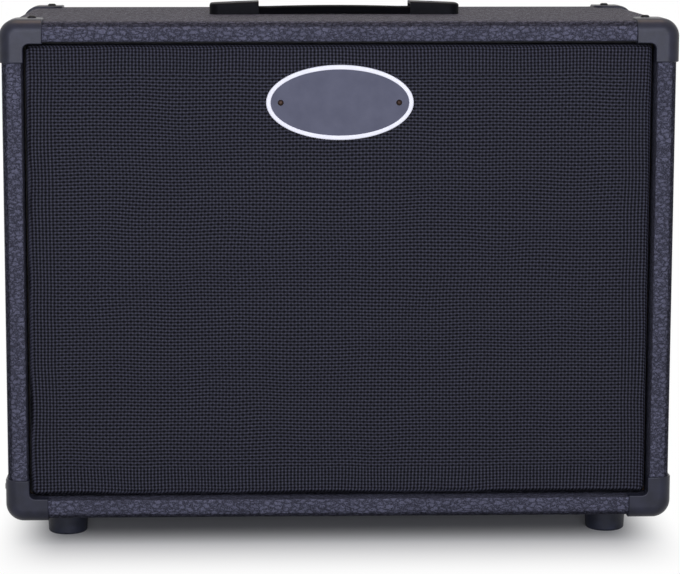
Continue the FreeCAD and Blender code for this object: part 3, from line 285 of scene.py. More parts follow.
@dataclass(frozen=True)
class GrainedVinyl(Finish):
    """Embossed covering: a leather print of wavy wrinkles and fine pebbles, with painted shade in the
    creases.

    Args:
        painted_crease_shade: Painted shade at the bottom of the creases.
        wander_mm: How far the creases stray from straight lines.
        wander_size: Size of the waves in which they stray, in sizes of the surface grain.
        wander_detail: Finer layers of those waves.
        pebble_slope: How far the slope at a pebble's edge reaches, as a share of its size.
        wrinkle_mm: Distance from one crease to the next.
        wrinkle_slope: How far the slope at a crease reaches, as a share of that distance.
        stretch: How the wrinkles are drawn out along X, Y and Z.
        shares: How strongly the pebbles and the wrinkles show.
    """

    # Painted shade: the creases are darker in the colour itself.
    painted_crease_shade: str = "#2c2c32"
    wander_mm: float = 2.0
    wander_size: float = 2.2
    wander_detail: float = 2.0
    pebble_slope: float = 0.25
    wrinkle_mm: float = 2.2
    wrinkle_slope: float = 0.3
    stretch: Triple = (0.35, 1.0, 0.7)
    shares: Pair = (0.35, 0.55)

    def height(self, tree: Tree, place: Source) -> Node:
        """Height of the wrinkles and pebbles, falling to 0 in the creases.

        Args:
            tree: The material's tree.
            place: Where on the covering it is read.

        Returns:
            The height, from 0 to 1.
        """
        scale = 1 / (self.wander_size * self.grain_mm * MM)
        waves = {"Vector": place, "Scale": scale, "Detail": self.wander_detail}
        drift = {0: add_node(tree, NOISE, waves).outputs["Color"], 1: NOISE_MIDDLE}
        centred = add_node(tree, VECTOR_MATH, drift, operation="SUBTRACT")
        stray = (2 * self.wander_mm * MM,) * 3
        moved = {0: centred, 1: stray, 2: place}
        pebbles = add_node(tree, VECTOR_MATH, moved, operation="MULTIPLY_ADD")
        wrinkles = add_node(tree, VECTOR_MATH, {0: pebbles, 1: self.stretch}, operation="MULTIPLY")
        total = 0.0
        for where, size_mm, slope, share in (
            (pebbles, self.grain_mm, self.pebble_slope, self.shares[0]),
            (wrinkles, self.wrinkle_mm, self.wrinkle_slope, self.shares[1]),
        ):
            cells = {"Vector": where, "Scale": 1 / (size_mm * MM)}
            edge = add_node(tree, VORONOI, cells, feature="DISTANCE_TO_EDGE")
            rise = {"Value": edge, "From Max": slope}
            swell = add_node(tree, MAP_RANGE, rise, interpolation_type="SMOOTHSTEP")
            total = add_node(tree, MATH, {0: swell, 1: share, 2: total}, operation="MULTIPLY_ADD")
        return add_node(tree, MAP_RANGE, {"Value": total, "From Max": sum(self.shares)})

    def colour(self, tree: Tree, place: Source, height: Source) -> Node:
        """Painted shade in the creases, between wrinkles of two tones."""
        return self.tones(tree, height, self.painted_crease_shade, super().colour(tree, place, height))


@dataclass(frozen=True)
class WovenCloth(Finish):
    """Open plain weave: light yarns with painted highlights where they cross, painted shade in the
    gaps.

    Args:
        yarn_mm: Distance between upright yarns and between level yarns.
        stray_mm: How far the yarns stray from straight lines.
        stray_detail: Finer layers of the waves in which they stray.
        window: Half width, bottom and top of the part with no rail behind it, in metres.
        window_edge_mm: Half width of the soft edge of that part.
        over_rail: How strongly level yarns, upright yarns and their crossings show over a rail.
        over_window: The same over the open window, where the level yarns stand out.
        swing: How far the sum of the waves goes up and down.
        depth: How steeply the tone falls from the yarns into the gaps.
        uneven: Least and greatest brightness of single fibres.
    """

    yarn_mm: Pair = (2.6, 2.5)
    stray_mm: float = 3.0
    stray_detail: float = 1.0
    window: Triple = (0.2, 0.1, 0.3)
    window_edge_mm: float = 2.0
    over_rail: Triple = (0.22, 0.3, 0.1)
    over_window: Triple = (0.32, 0.17, 0.22)
    swing: float = 0.5
    depth: float = 2.0
    uneven: Pair = (0.65, 1.35)

    def height(self, tree: Tree, place: Source) -> Node:
        """Height of the yarns: 1 where they cross, 0 in the gaps.

        Args:
            tree: The material's tree.
            place: Where on the cloth it is read.

        Returns:
            The height.
        """
        upright, level = self.turns(tree, place)
        single = [add_node(tree, MATH, {0: turn}, operation="COSINE") for turn in (upright, level)]
        crossing = add_node(tree, MATH, {0: single[0], 1: single[1]}, operation="MULTIPLY")
        waves = []
        for turn in (level, upright):
            twice = add_node(tree, MATH, {0: turn, 1: 2.0}, operation="MULTIPLY")
            waves.append(add_node(tree, MATH, {0: twice}, operation="COSINE"))
        waves.append(crossing)
        mask = self.open_part(tree, place)
        total = 0.0
        for wave, rail, window in zip(waves, self.over_rail, self.over_window):
            share = add_node(tree, MAP_RANGE, {"Value": mask, "To Min": rail, "To Max": window})
            total = add_node(tree, MATH, {0: wave, 1: share, 2: total}, operation="MULTIPLY_ADD")
        span = {"From Min": self.swing, "From Max": -self.swing}
        return add_node(tree, MAP_RANGE, {"Value": total, **span})

    def colour(self, tree: Tree, place: Source, height: Source) -> Node:
        """Painted shade in the gaps, painted highlights towards the yarn crossings, and the yarns' own
        uneven fibres.

        Args:
            tree: The material's tree.
            place: Where on the cloth it is read.
            height: Height of the yarns.

        Returns:
            The colour.
        """
        low, high = self.uneven
        fibres = self.cloud(tree, place, self.grain_mm)
        bright = add_node(tree, MAP_RANGE, {"Value": fibres, "To Min": low, "To Max": high})
        # Painted shade and highlight: the tone falls from the yarn crossings into the gaps.
        fall = add_node(tree, MATH, {0: height, 1: self.depth}, operation="POWER")
        tone = add_node(tree, MATH, {0: fall, 1: bright}, operation="MULTIPLY")
        return self.tones(tree, tone, self.dark, self.light)

    def turns(self, tree: Tree, place: Source) -> list[Node]:
        """Angles that grow by half a turn from one yarn to the next.

        Args:
            tree: The material's tree.
            place: Where on the cloth the weave is read.

        Returns:
            The angle across the upright yarns and the angle across the level ones.
        """
        scale = 1 / (self.patch_mm * MM)
        waves = {"Vector": place, "Scale": scale, "Detail": self.stray_detail}
        stray = (self.stray_mm * MM,) * 3
        drift = {0: add_node(tree, NOISE, waves).outputs["Color"], 1: stray, 2: place}
        moved = add_node(tree, VECTOR_MATH, drift, operation="MULTIPLY_ADD")
        along = add_node(tree, SEPARATE, {"Vector": moved}).outputs
        angles = []
        for axis, pitch in zip("XZ", self.yarn_mm):
            spread = add_node(tree, MATH, {0: along[axis], 1: along["Y"]}, operation="ADD")
            turn = {0: spread, 1: math.pi / (pitch * MM)}
            angles.append(add_node(tree, MATH, turn, operation="MULTIPLY"))
        return angles

    def open_part(self, tree: Tree, place: Source) -> Node:
        """1 where nothing lies close behind the cloth, 0 in front of the frame's rails.

        Args:
            tree: The material's tree.
            place: Where on the cloth it is read.

        Returns:
            The mask.
        """
        half, bottom, top = self.window
        soft = self.window_edge_mm * MM
        along = add_node(tree, SEPARATE, {"Vector": place}).outputs
        masks = []
        for axis, centre, reach in (
            ("X", 0.0, half),
            ("Z", (bottom + top) / 2, (top - bottom) / 2),
        ):
            offset = add_node(tree, MATH, {0: along[axis], 1: centre}, operation="SUBTRACT")
            away = add_node(tree, MATH, {0: offset}, operation="ABSOLUTE")
            edge = {"From Min": reach - soft, "From Max": reach + soft, "To Min": 1.0, "To Max": 0.0}
            masks.append(
                add_node(tree, MAP_RANGE, {"Value": away, **edge}, interpolation_type="SMOOTHSTEP")
            )
        return add_node(tree, MATH, {0: masks[0], 1: masks[1]}, operation="MULTIPLY")


@dataclass(frozen=True)
class RibbedPaper(Finish):
    """Pulp paper pressed with rings round the driver's axis.

    Args:
        centre: X and Z of the axis, in metres.
        ring_mm: Distance between rings.
        ring_share: How strongly the rings show against the fibres.
    """

    centre: Pair = (0.0, 0.2)
    ring_mm: float = 9.0
    ring_share: float = 0.35

    def height(self, tree: Tree, place: Source) -> Node:
        """Height of the rings and of the paper's fibres.

        Args:
            tree: The material's tree.
            place: Where on the paper it is read.

        Returns:
            The height, from 0 to 1.
        """
        axis = (self.centre[0], 0.0, self.centre[1])
        offset = add_node(tree, VECTOR_MATH, {0: place, 1: axis}, operation="SUBTRACT")
        level = add_node(tree, VECTOR_MATH, {0: offset, 1: (1.0, 0.0, 1.0)}, operation="MULTIPLY")
        radius = add_node(tree, VECTOR_MATH, {0: level}, operation="LENGTH")
        pitch = 2 * math.pi / (self.ring_mm * MM)
        turn = add_node(tree, MATH, {0: radius, 1: pitch}, operation="MULTIPLY")
        ring = add_node(tree, MATH, {0: turn}, operation="SINE")
        parts = {0: ring, 1: self.ring_share, 2: self.cloud(tree, place, self.grain_mm)}
        mixed = add_node(tree, MATH, parts, operation="MULTIPLY_ADD")
        span = {"From Min": -self.ring_share, "From Max": 1 + self.ring_share}
        return add_node(tree, MAP_RANGE, {"Value": mixed, **span})


def driver_axis() -> Pair:
    """Find the driver's axis from the dust cap.

    Returns:
        Its X and Z.
    """
    low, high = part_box("dust_cap")
    middle = (low + high) / 2
    return middle.x, middle.z


def cloth_window() -> Triple:
    """Half width, bottom and top of the grille frame's window."""
    low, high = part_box("grille_frame")
    return high.x - RAIL, low.z + RAIL, high.z - RAIL


# One finish for each material slot of the CAD nodes. After the name and the two tones stand the sizes
# of patches and grain and the grain's depth, in millimetres, then the roughness of high and low places.
FINISHES: dict[str, Finish] = {
    # Unfaced birch plywood: pale brown with long fibres.
    "panel_board": Finish(
        "birch_plywood", "#8a6a46", "#b08d62", 14.0, 0.9, 0.05, 0.6, 0.75, grain=Grain.ALONG_X
    ),
    # Embossed vinyl: satin wrinkles that catch the light, with painted shade in the dull creases
    # between them.
    "black_vinyl": GrainedVinyl(
        "embossed_vinyl", "#62626f", "#6c6c7a", 22.0, 1.1, 0.5, 0.42, 0.65, specular=0.03
    ),
    # Injection-moulded ABS: smooth and satin, with a faint ripple left by the mould.
    "corner_plastic": Finish(
        "moulded_abs", "#1d1e26", "#272833", 9.0, 1.3, 0.012, 0.34, 0.42, specular=0.22
    ),
    # Black-oxidised steel: dark metal with a dull sheen.
    "black_screw": Finish(
        "black_oxide_steel", "#101011", "#222224", 2.5, 0.35, 0.01, 0.32, 0.5, metallic=0.9
    ),
    # Moulded rubber: matt, slightly dusty in patches.
    "foot_rubber": Finish(
        "moulded_rubber", "#12141d", "#1f222e", 7.0, 0.7, 0.03, 0.45, 0.62, specular=0.3
    ),
    # Spark-eroded ABS: a fine even stipple breaks up the highlights.
    "handle_plastic": Finish(
        "stippled_abs", "#08080a", "#0f0f12", 6.0, 0.8, 0.06, 0.4, 0.55, specular=0.05
    ),
    # Extruded rubber: soft satin with fine lines along its length.
    "strap_rubber": Finish(
        "extruded_rubber", "#050506", "#0b0b0d", 8.0, 0.7, 0.03, 0.65, 0.85,
        specular=0.02, grain=Grain.ALONG_X,
    ),
    # Tempered spring steel: blue-grey metal, rolled lengthwise.
    "spring_steel": Finish(
        "spring_steel", "#5b5f66", "#787c82", 6.0, 0.5, 0.008, 0.3, 0.45,
        metallic=1.0, grain=Grain.ALONG_X,
    ),
    # Zinc-plated steel: bright metal with a cloudy bloom.
    "plated_steel": Finish(
        "zinc_plated_steel", "#9c9d9a", "#c4c4bf", 4.0, 0.5, 0.006, 0.28, 0.44, metallic=1.0
    ),
    # Pine batten under black stain: matt, with the grain still showing.
    "frame_wood": Finish(
        "stained_pine", "#0c0b0b", "#1c1a19", 9.0, 1.1, 0.08, 0.6, 0.78, grain=Grain.ALONG_X
    ),
    # Woven polypropylene: dull grey-blue yarns, painted lighter where they cross, with painted shade in
    # the gaps.
    "grille_fabric": WovenCloth(
        "woven_polypropylene", "#050506", "#45454f", 60.0, 0.9, 0.3, 0.55, 0.75,
        specular=0.06, window=cloth_window(),
    ),
    # Nylon hook and loop: matt fuzz that catches light at its edges.
    "fastener_pad": Finish(
        "nylon_pile", "#0b0b0d", "#1e1e22", 3.0, 0.8, 0.4, 0.7, 0.9, sheen=0.5
    ),
    # Enamel on a stamped plate: white rim, with the glaze's slow ripple.
    "badge_face": Finish(
        "white_enamel", "#e9e8e6", "#f1f0ee", 8.0, 3.0, 0.012, 0.22, 0.3, specular=0.3
    ),
    # Bronze-plated pin: brown metal, dark with age.
    "badge_pin": Finish(
        "bronzed_steel", "#1f1815", "#382c25", 1.5, 0.3, 0.01, 0.3, 0.5, metallic=1.0
    ),
    # Particle board under black paint: matt, with chips showing through.
    "baffle_wood": Finish(
        "painted_particle_board", "#0b0b0c", "#181819", 6.0, 2.2, 0.12, 0.55, 0.75
    ),
    # Plywood under black paint: matt, with long open grain.
    "rear_wood": Finish(
        "painted_plywood", "#111113", "#1f1f22", 18.0, 1.3, 0.09, 0.5, 0.7, grain=Grain.ALONG_X
    ),
    # Pressed steel under baked enamel: even black gloss with slight orange peel.
    "basket_steel": Finish("enamelled_steel", "#101114", "#1a1b1f", 10.0, 1.6, 0.02, 0.28, 0.4),
    # Pressed fibreboard: grey-brown and matt, full of short fibres.
    "gasket_fibre": Finish("pressed_fibreboard", "#3c352d", "#5a5145", 3.0, 0.6, 0.06, 0.75, 0.9),
    # Pulp paper: charcoal, matt, with pressed rings.
    "cone_paper": RibbedPaper(
        "ribbed_pulp_paper", "#1d1c1d", "#302f2f", 5.0, 0.7, 0.25, 0.65, 0.85, centre=driver_axis()
    ),
    # Doped paper edge: darker, with a faint tacky shine.
    "edge_paper": Finish("doped_paper", "#121112", "#201f1f", 6.0, 1.0, 0.05, 0.35, 0.55),
    # Phenolic-dipped cotton: amber cloth with a tight weave.
    "spider_cloth": Finish(
        "dipped_cotton", "#8a6a32", "#ab8745", 4.0, 0.6, 0.1, 0.55, 0.7, sheen=0.2
    ),
    # Polyimide film: clear amber-brown and shiny.
    "former_film": Finish("polyimide_film", "#6b3a12", "#8f5420", 7.0, 1.5, 0.006, 0.2, 0.32),
    # Enamelled copper wire: orange metal in close turns.
    "copper_wire": Finish(
        "enamelled_copper", "#a8602f", "#c67a45", 2.0, 0.3, 0.03, 0.25, 0.4, metallic=1.0
    ),
    # Sintered ferrite: charcoal ceramic, fine-grained and matt.
    "ferrite": Finish("sintered_ferrite", "#29292b", "#3a3a3d", 8.0, 0.6, 0.03, 0.55, 0.75),
    # Phenolic paper board: brown, smooth, slightly mottled.
    "terminal_fibre": Finish("phenolic_board", "#4c2c17", "#643d22", 4.0, 0.7, 0.01, 0.35, 0.5),
    # Tinned brass: soft silver metal.
    "tin_plate": Finish(
        "tinned_brass", "#aaa9a2", "#c9c8c2", 2.0, 0.4, 0.006, 0.3, 0.45, metallic=1.0
    ),
    # Powder-coated steel: black with a fine orange peel.
    "jack_plate_paint": Finish(
        "powder_coated_steel", "#131316", "#1f1f23", 6.0, 0.9, 0.04, 0.35, 0.5
    ),
    # Moulded nylon: black and satin.
    "jack_plastic": Finish("moulded_nylon", "#0e0e10", "#1a1a1d", 4.0, 0.8, 0.01, 0.35, 0.48),
    # Nickel-plated brass: warm bright metal, turned on a lathe.
    "nickel_nut": Finish(
        "nickel_plated_brass", "#b3aea4", "#d2cec5", 3.0, 0.4, 0.004, 0.18, 0.32, metallic=1.0
    ),
    # PVC insulation: black, smooth and slightly greasy.
    "lead_insulation": Finish("pvc_insulation", "#141416", "#222226", 5.0, 0.8, 0.01, 0.38, 0.52),
}

# Painted field of the badge: grey-blue, satin, with the brush's slow unevenness.
BADGE_FIELD = Finish(
    "grey_blue_enamel", "#595a65", "#60616c", 12.0, 1.5, 0.01, 0.4, 0.55, specular=0.05
)


@dataclass(frozen=True)
class Outline:
    """A rounded rectangle standing in the X-Z plane, in metres.

    Args:
        half_width: Half of its width.
        bottom: Lowest Z.
        top: Highest Z.
        radius: Corner radius.
        least_radius: Corner radius that is left when it is drawn far in.
        steps: Straight pieces in each corner.
    """

    half_width: float
    bottom: float
    top: float
    radius: float
    least_radius: float = 0.2 * MM
    steps: int = 8

    def ring(self, inset: float, y: float) -> Ring:
        """The outline drawn in by an inset, at one depth.

        Args:
            inset: How far the outline is drawn in.
            y: Its depth.

        Returns:
            Its points, anticlockwise as seen from the front.
        """
        radius = max(self.radius - inset, self.least_radius)
        x = self.half_width - inset - radius
        low = self.bottom + inset + radius
        high = self.top - inset - radius
        points = []
        for middle_x, middle_z, start in ((x, low, -90), (x, high, 0), (-x, high, 90), (-x, low, 180)):
            for step in range(self.steps + 1):
                angle = math.radians(start + 90 * step / self.steps)
                across = radius * math.cos(angle)
                up = radius * math.sin(angle)
                points.append(Vector((middle_x + across, y, middle_z + up)))
        return points


@dataclass(frozen=True)
class Oval:
    """An ellipse standing in the X-Z plane, in metres.

    Args:
        half_width: Half of its width.
        half_height: Half of its height.
        centre_z: Height of its centre.
        steps: Points round it.
    """

    half_width: float
    half_height: float
    centre_z: float
    steps: int = 96

    def ring(self, inset: float, y: float) -> Ring:
        """The ellipse drawn in by an inset, at one depth.

        Args:
            inset: How far it is drawn in.
            y: Its depth.

        Returns:
            Its points, anticlockwise as seen from the front.
        """
        wide = self.half_width - inset
        tall = self.half_height - inset
        turns = [2 * math.pi * step / self.steps for step in range(self.steps)]
        return [
            Vector((wide * math.cos(turn), y, self.centre_z + tall * math.sin(turn)))
            for turn in turns
        ]


def rounded(start: Pair, end: Pair, bulge_first: bool, steps: int = 6) -> list[Pair]:
    """A quarter round between two stations of inset and depth.

    Args:
        start: Inset and depth where it starts.
        end: Inset and depth where it ends.
        bulge_first: Whether the depth changes before the inset does.
        steps: Straight pieces in it.

    Returns:
        The stations from start to end.
    """
    stations = []
    for step in range(steps + 1):
        turn = math.radians(90 * step / steps)
        shares = (math.sin(turn), 1 - math.cos(turn))
        depth, inset = shares if bulge_first else reversed(shares)
        stations.append((
            start[0] + (end[0] - start[0]) * inset,
            start[1] + (end[1] - start[1]) * depth,
        ))
    return stations


def linked(name: str, data: bpy.types.ID) -> Piece:
    """Put a mesh, a lamp or a lens into the scene.

    Args:
        name: Name of the new object.
        data: What it shows.

    Returns:
        The object, at the origin.
    """
    thing = bpy.data.objects.new(name, data)
    bpy.context.scene.collection.objects.link(thing)
    return thing


def evaluated_mesh(piece: Piece) -> None:
    """Bake a piece's modifiers into its mesh and take them off.

    Args:
        piece: The piece.
    """
    depsgraph = bpy.context.evaluated_depsgraph_get()
    mesh = bpy.data.meshes.new_from_object(piece.evaluated_get(depsgraph))
    old = piece.data
    piece.modifiers.clear()
    piece.data = mesh
    bpy.data.meshes.remove(old)
    mesh.name = piece.name


def finished(work: bmesh.types.BMesh, name: str, sharp_turn: float = SHARP_TURN) -> Piece:
    """Turn worked faces into a smoothly shaded piece, with flat faces and sharp edges kept.

    Args:
        work: The faces, which are freed.
        name: Name of the piece.
        sharp_turn: Edges that turn by more than this stay sharp, in degrees.

    Returns:
        The piece, at the origin.
    """
    mesh = bpy.data.meshes.new(name)
    work.to_mesh(mesh)
    work.free()
    mesh.shade_smooth()
    mesh.set_sharp_from_angle(angle=math.radians(sharp_turn))
    piece = linked(name, mesh)
    weighted = piece.modifiers.new("flat faces", "WEIGHTED_NORMAL")
    weighted.weight = FLAT_PULL
    weighted.keep_sharp = True
    evaluated_mesh(piece)
    return piece


def loft(name: str, rings: list[Ring], closed: bool, sharp_turn: float = SHARP_TURN) -> Piece:
    """Skin a row of rings into one solid with outward faces.

    Args:
        name: Name of the piece.
        rings: Rings with equal numbers of points.
        closed: Whether the last ring joins the first; otherwise both ends are capped.
        sharp_turn: Edges that turn by more than this stay sharp, in degrees.

    Returns:
        The shaded piece.
    """
    work = bmesh.new()
    rows = [[work.verts.new(point) for point in ring] for ring in rings]
    count = len(rows[0])
    pairs = list(zip(rows, rows[1:]))
    if closed:
        pairs.append((rows[-1], rows[0]))
    for near, far in pairs:
        for at in range(count):
            after = (at + 1) % count
            work.faces.new((near[at], near[after], far[after], far[at]))
    if not closed:
        work.faces.new(rows[0])
        work.faces.new(rows[-1])
    bmesh.ops.recalc_face_normals(work, faces=work.faces)
    return finished(work, name, sharp_turn)


def node_copy(node: str) -> bmesh.types.BMesh:
    """Copy a CAD node's mesh and join its loose triangles.

    Args:
        node: Name of the node.

    Returns:
        The copy.
    """
    work = bmesh.new()
    work.from_mesh(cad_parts[node].data)
    bmesh.ops.remove_doubles(work, verts=work.verts, dist=WELD)
    return work


def node_slot(node: str) -> str:
    """Material slot of a CAD node that hasn't been dressed yet."""
    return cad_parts[node].material_slots[0].material.name


@dataclass
class Workshop:
    """Holds the finished materials and puts them on the pieces."""

    materials: dict[str, bpy.types.Material] = field(default_factory=dict)

    def material(self, slot: str) -> bpy.types.Material:
        """Find the material of a slot, which is made when it is first asked for.

        Args:
            slot: Name of the slot.

        Returns:
            The material.
        """
        if slot not in self.materials:
            self.materials[slot] = FINISHES[slot].build()
        return self.materials[slot]

    def dress_nodes(self, nodes: list[str]) -> None:
        """Put the finishes on CAD nodes that keep their shapes.

        Args:
            nodes: Names of the nodes.
        """
        for name in nodes:
            slot = node_slot(name)
            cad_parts[name].material_slots[0].material = self.material(slot)
            LOG.info("%s keeps its shape, in %s", name, FINISHES[slot].name)

    def place(self, piece: Piece, node: str, body: str) -> None:
        """Let a new piece take a CAD node's place.

        Args:
            piece: The new piece.
            node: The node that it stands for.
            body: The body that it moves with.
        """
        slot = node_slot(node)
        if not piece.data.materials:
            piece.data.materials.append(self.material(slot))
        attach(piece, body)
        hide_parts(node)
        LOG.info("%s stands for %s on %s", piece.name, node, body)

    def bend(self, piece: Piece, node: str) -> None:
        """Let a new piece take a CAD node's place, with its placement baked into its mesh.

        Args:
            piece: The new piece.
            node: The node that it stands for.
        """
        slot = node_slot(node)
        piece.data.materials.append(self.material(slot))
        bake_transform(piece)
        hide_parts(node)
        LOG.info("%s flexes in place of %s", piece.name, node)


@dataclass(frozen=True)
class Screw:
    """Seat and sizes of one screw, in metres.

    Args:
        seat: Where the underside of its head rests.
        facing: Which way the head looks.
        head_radius: Radius of the head.
        head_height: Height of the head.
        shank_radius: Radius of the shank.
        length: Length under the head.
    """

    seat: Vector
    facing: Vector
    head_radius: float
    head_height: float
    shank_radius: float
    length: float


@dataclass
class ScrewSet:
    """Cross-recessed screws in place of one CAD node's plain ones.

    Args:
        node: The CAD node.
        body: The body that they move with.
        seed: Seed for the way that each one was left turned.
        arm_length: Length of a recess arm, as a share of the head's radius.
        arm_width: Half width of a recess arm, as a share of the head's radius.
        dome: Radius and height of the rings from the head's seat to its recess, as shares.
        recess: Size of the cross and height of the rings from the recess's edge to its floor.
        sharp_turn: Edges of the head that turn by more than this stay sharp, in degrees.
        sides: Flat sides of the shank.
        rim_share: Share of the greatest radius from which a point is on the head's rim.
    """

    node: str
    body: str = "cabinet"
    seed: int = 3
    arm_length: float = 0.56
    arm_width: float = 0.13
    dome: tuple[Pair, ...] = ((1.0, 0.0), (1.0, 0.3), (0.94, 0.52), (0.84, 0.72), (0.7, 0.87))
    recess: tuple[Pair, ...] = ((1.0, 0.93), (0.9, 0.35), (0.7, 0.25))
    sharp_turn: float = 30.0
    sides: int = 20
    rim_share: float = 0.98

    def build(self, shop: Workshop) -> None:
        """Make the screws and put them in place.

        Args:
            shop: The workshop that dresses them.
        """
        screws = self.read_screws()
        sites = bpy.data.meshes.new(self.node + "_sites")
        sites.from_pydata([screw.seat for screw in screws], [], [])
        facing = sites.attributes.new("facing", "FLOAT_VECTOR", "POINT")
        for entry, screw in zip(facing.data, screws):
            entry.vector = screw.facing
        piece = linked(self.node + "_crossed", sites)
        head = self.unit_head()
        tree = self.tree(shop.material(node_slot(self.node)), head)
        modifier = piece.modifiers.new("screws", "NODES")
        modifier.node_group = tree
        sizes = {
            "Head radius": screws[0].head_radius,
            "Head height": screws[0].head_height,
            "Shank radius": screws[0].shank_radius,
            "Length": screws[0].length,
            "Seed": self.seed,
        }
        for item in tree.interface.items_tree:
            if item.name in sizes:
                modifier[item.identifier] = sizes[item.name]
        evaluated_mesh(piece)
        bpy.data.objects.remove(head)
        shop.place(piece, self.node, self.body)

    def read_screws(self) -> list[Screw]:
        """Find the seat, the facing and the sizes of each screw of the CAD node.

        Returns:
            The screws, in a fixed order.
        """
        work = node_copy(self.node)
        unseen = set(work.verts)
        screws = []
        for vert in work.verts:
            if vert not in unseen:
                continue
            unseen.remove(vert)
            waiting = [vert]
            points = []
            while waiting:
                here = waiting.pop()
                points.append(here.co.copy())
                for edge in here.link_edges:
                    other = edge.other_vert(here)
                    if other in unseen:
                        unseen.remove(other)
                        waiting.append(other)
            screws.append(self.measure(points))
        work.free()
        return screws

    def measure(self, points: list[Vector]) -> Screw:
        """Measure one screw from the points of its solid.

        Args:
            points: All its points.

        Returns:
            The screw.
        """
        low = Vector([min(point[at] for point in points) for at in range(3)])
        high = Vector([max(point[at] for point in points) for at in range(3)])
        spans = list(high - low)
        axis = spans.index(max(spans))
        seat = (low + high) / 2
        radii = []
        for point in points:
            offset = point - seat
            offset[axis] = 0.0
            radii.append(offset.length)
        widest = max(radii)
        along = [point[axis] for point in points]
        rim = [at for at, radius in zip(along, radii) if radius > self.rim_share * widest]
        upward = sum(rim) / len(rim) > seat[axis]
        seat[axis] = min(rim) if upward else max(rim)
        crown, tip = (high, low) if upward else (low, high)
        shank = [radius for at, radius in zip(along, radii) if abs(at - seat[axis]) < TOUCH]
        facing = Vector((0.0, 0.0, 0.0))
        facing[axis] = 1.0 if upward else -1.0
        head_height = abs(crown[axis] - seat[axis])
        return Screw(seat, facing, widest, head_height, min(shank), abs(seat[axis] - tip[axis]))

    def unit_head(self) -> Piece:
        """A head of radius 1 and height 1 with its cross recess, resting on Z = 0.

        Returns:
            The head, as an object of its own.
        """
        long, wide = self.arm_length, self.arm_width
        half = (long + wide) / 2
        arm = ((long, -wide), (long, 0.0), (long, wide), (half, wide), (wide, wide), (wide, half))
        cross = []
        for quarter in range(4):
            turn = math.radians(90 * quarter)
            cos, sin = math.cos(turn), math.sin(turn)
            cross += [(x * cos - y * sin, x * sin + y * cos) for x, y in arm]
        round_points = []
        for x, y in cross:
            angle = math.atan2(y, x)
            round_points.append((math.cos(angle), math.sin(angle)))
        rings = []
        for points, profile in ((round_points, self.dome), (cross, self.recess)):
            for share, height in profile:
                rings.append([Vector((share * x, share * y, height)) for x, y in points])
        return loft("unit_head", rings, closed=False, sharp_turn=self.sharp_turn)

    def tree(self, material: bpy.types.Material, head: Piece) -> Tree:
        """Build the Geometry Nodes tree that sets a screw on every site.

        Args:
            material: The screws' material.
            head: The head of radius 1 and height 1.

        Returns:
            The tree.
        """
        tree = bpy.data.node_groups.new(self.node + "_pattern", "GeometryNodeTree")
        tree.is_modifier = True
        for name, kind, way in (
            ("Sites", "Geometry", "INPUT"),
            ("Head radius", "Float", "INPUT"),
            ("Head height", "Float", "INPUT"),
            ("Shank radius", "Float", "INPUT"),
            ("Length", "Float", "INPUT"),
            ("Seed", "Int", "INPUT"),
            ("Screws", "Geometry", "OUTPUT"),
        ):
            tree.interface.new_socket(name, in_out=way, socket_type="NodeSocket" + kind)
        given = add_node(tree, "NodeGroupInput").outputs
        radius, height, length = given["Head radius"], given["Head height"], given["Length"]
        pattern = add_node(tree, "GeometryNodeObjectInfo", {"Object": head}).outputs["Geometry"]
        size = add_node(tree, COMBINE, {"X": radius, "Y": radius, "Z": height})
        sized = add_node(tree, TRANSFORM, {"Geometry": pattern, "Scale": size})
        rod_size = {"Vertices": self.sides, "Radius": given["Shank radius"], "Depth": length}
        rod = add_node(tree, "GeometryNodeMeshCylinder", rod_size)
        half = add_node(tree, MATH, {0: length, 1: -0.5}, operation="MULTIPLY")
        drop = add_node(tree, COMBINE, {"Z": half})
        shank = add_node(tree, TRANSFORM, {"Geometry": rod, "Translation": drop})
        screw = add_node(tree, "GeometryNodeJoinGeometry")
        for part in (sized, shank):
            tree.links.new(part.outputs["Geometry"], screw.inputs["Geometry"])
        stored = {"Name": "facing"}
        facing = add_node(tree, "GeometryNodeInputNamedAttribute", stored, data_type="FLOAT_VECTOR")
        aligned = add_node(tree, "FunctionNodeAlignRotationToVector", {"Vector": facing}, axis="Z")
        chance = {"Seed": given["Seed"], RANDOM_MOST: math.pi}
        angle = add_node(tree, "FunctionNodeRandomValue", chance, data_type="FLOAT")
        upright = {"Axis": (0.0, 0.0, 1.0), "Angle": angle}
        spin = add_node(tree, "FunctionNodeAxisAngleToRotation", upright)
        both = {"Rotation": aligned, "Rotate By": spin}
        turned = add_node(tree, "FunctionNodeRotateRotation", both, rotation_space="LOCAL")
        sites = {"Points": given["Sites"], "Instance": screw, "Rotation": turned}
        placed = add_node(tree, "GeometryNodeInstanceOnPoints", sites)
        real = add_node(tree, "GeometryNodeRealizeInstances", {"Geometry": placed})
        surface = {"Geometry": real, "Material": material}
        dressed = add_node(tree, "GeometryNodeSetMaterial", surface)
        add_node(tree, "NodeGroupOutput", {"Screws": dressed})
        return tree


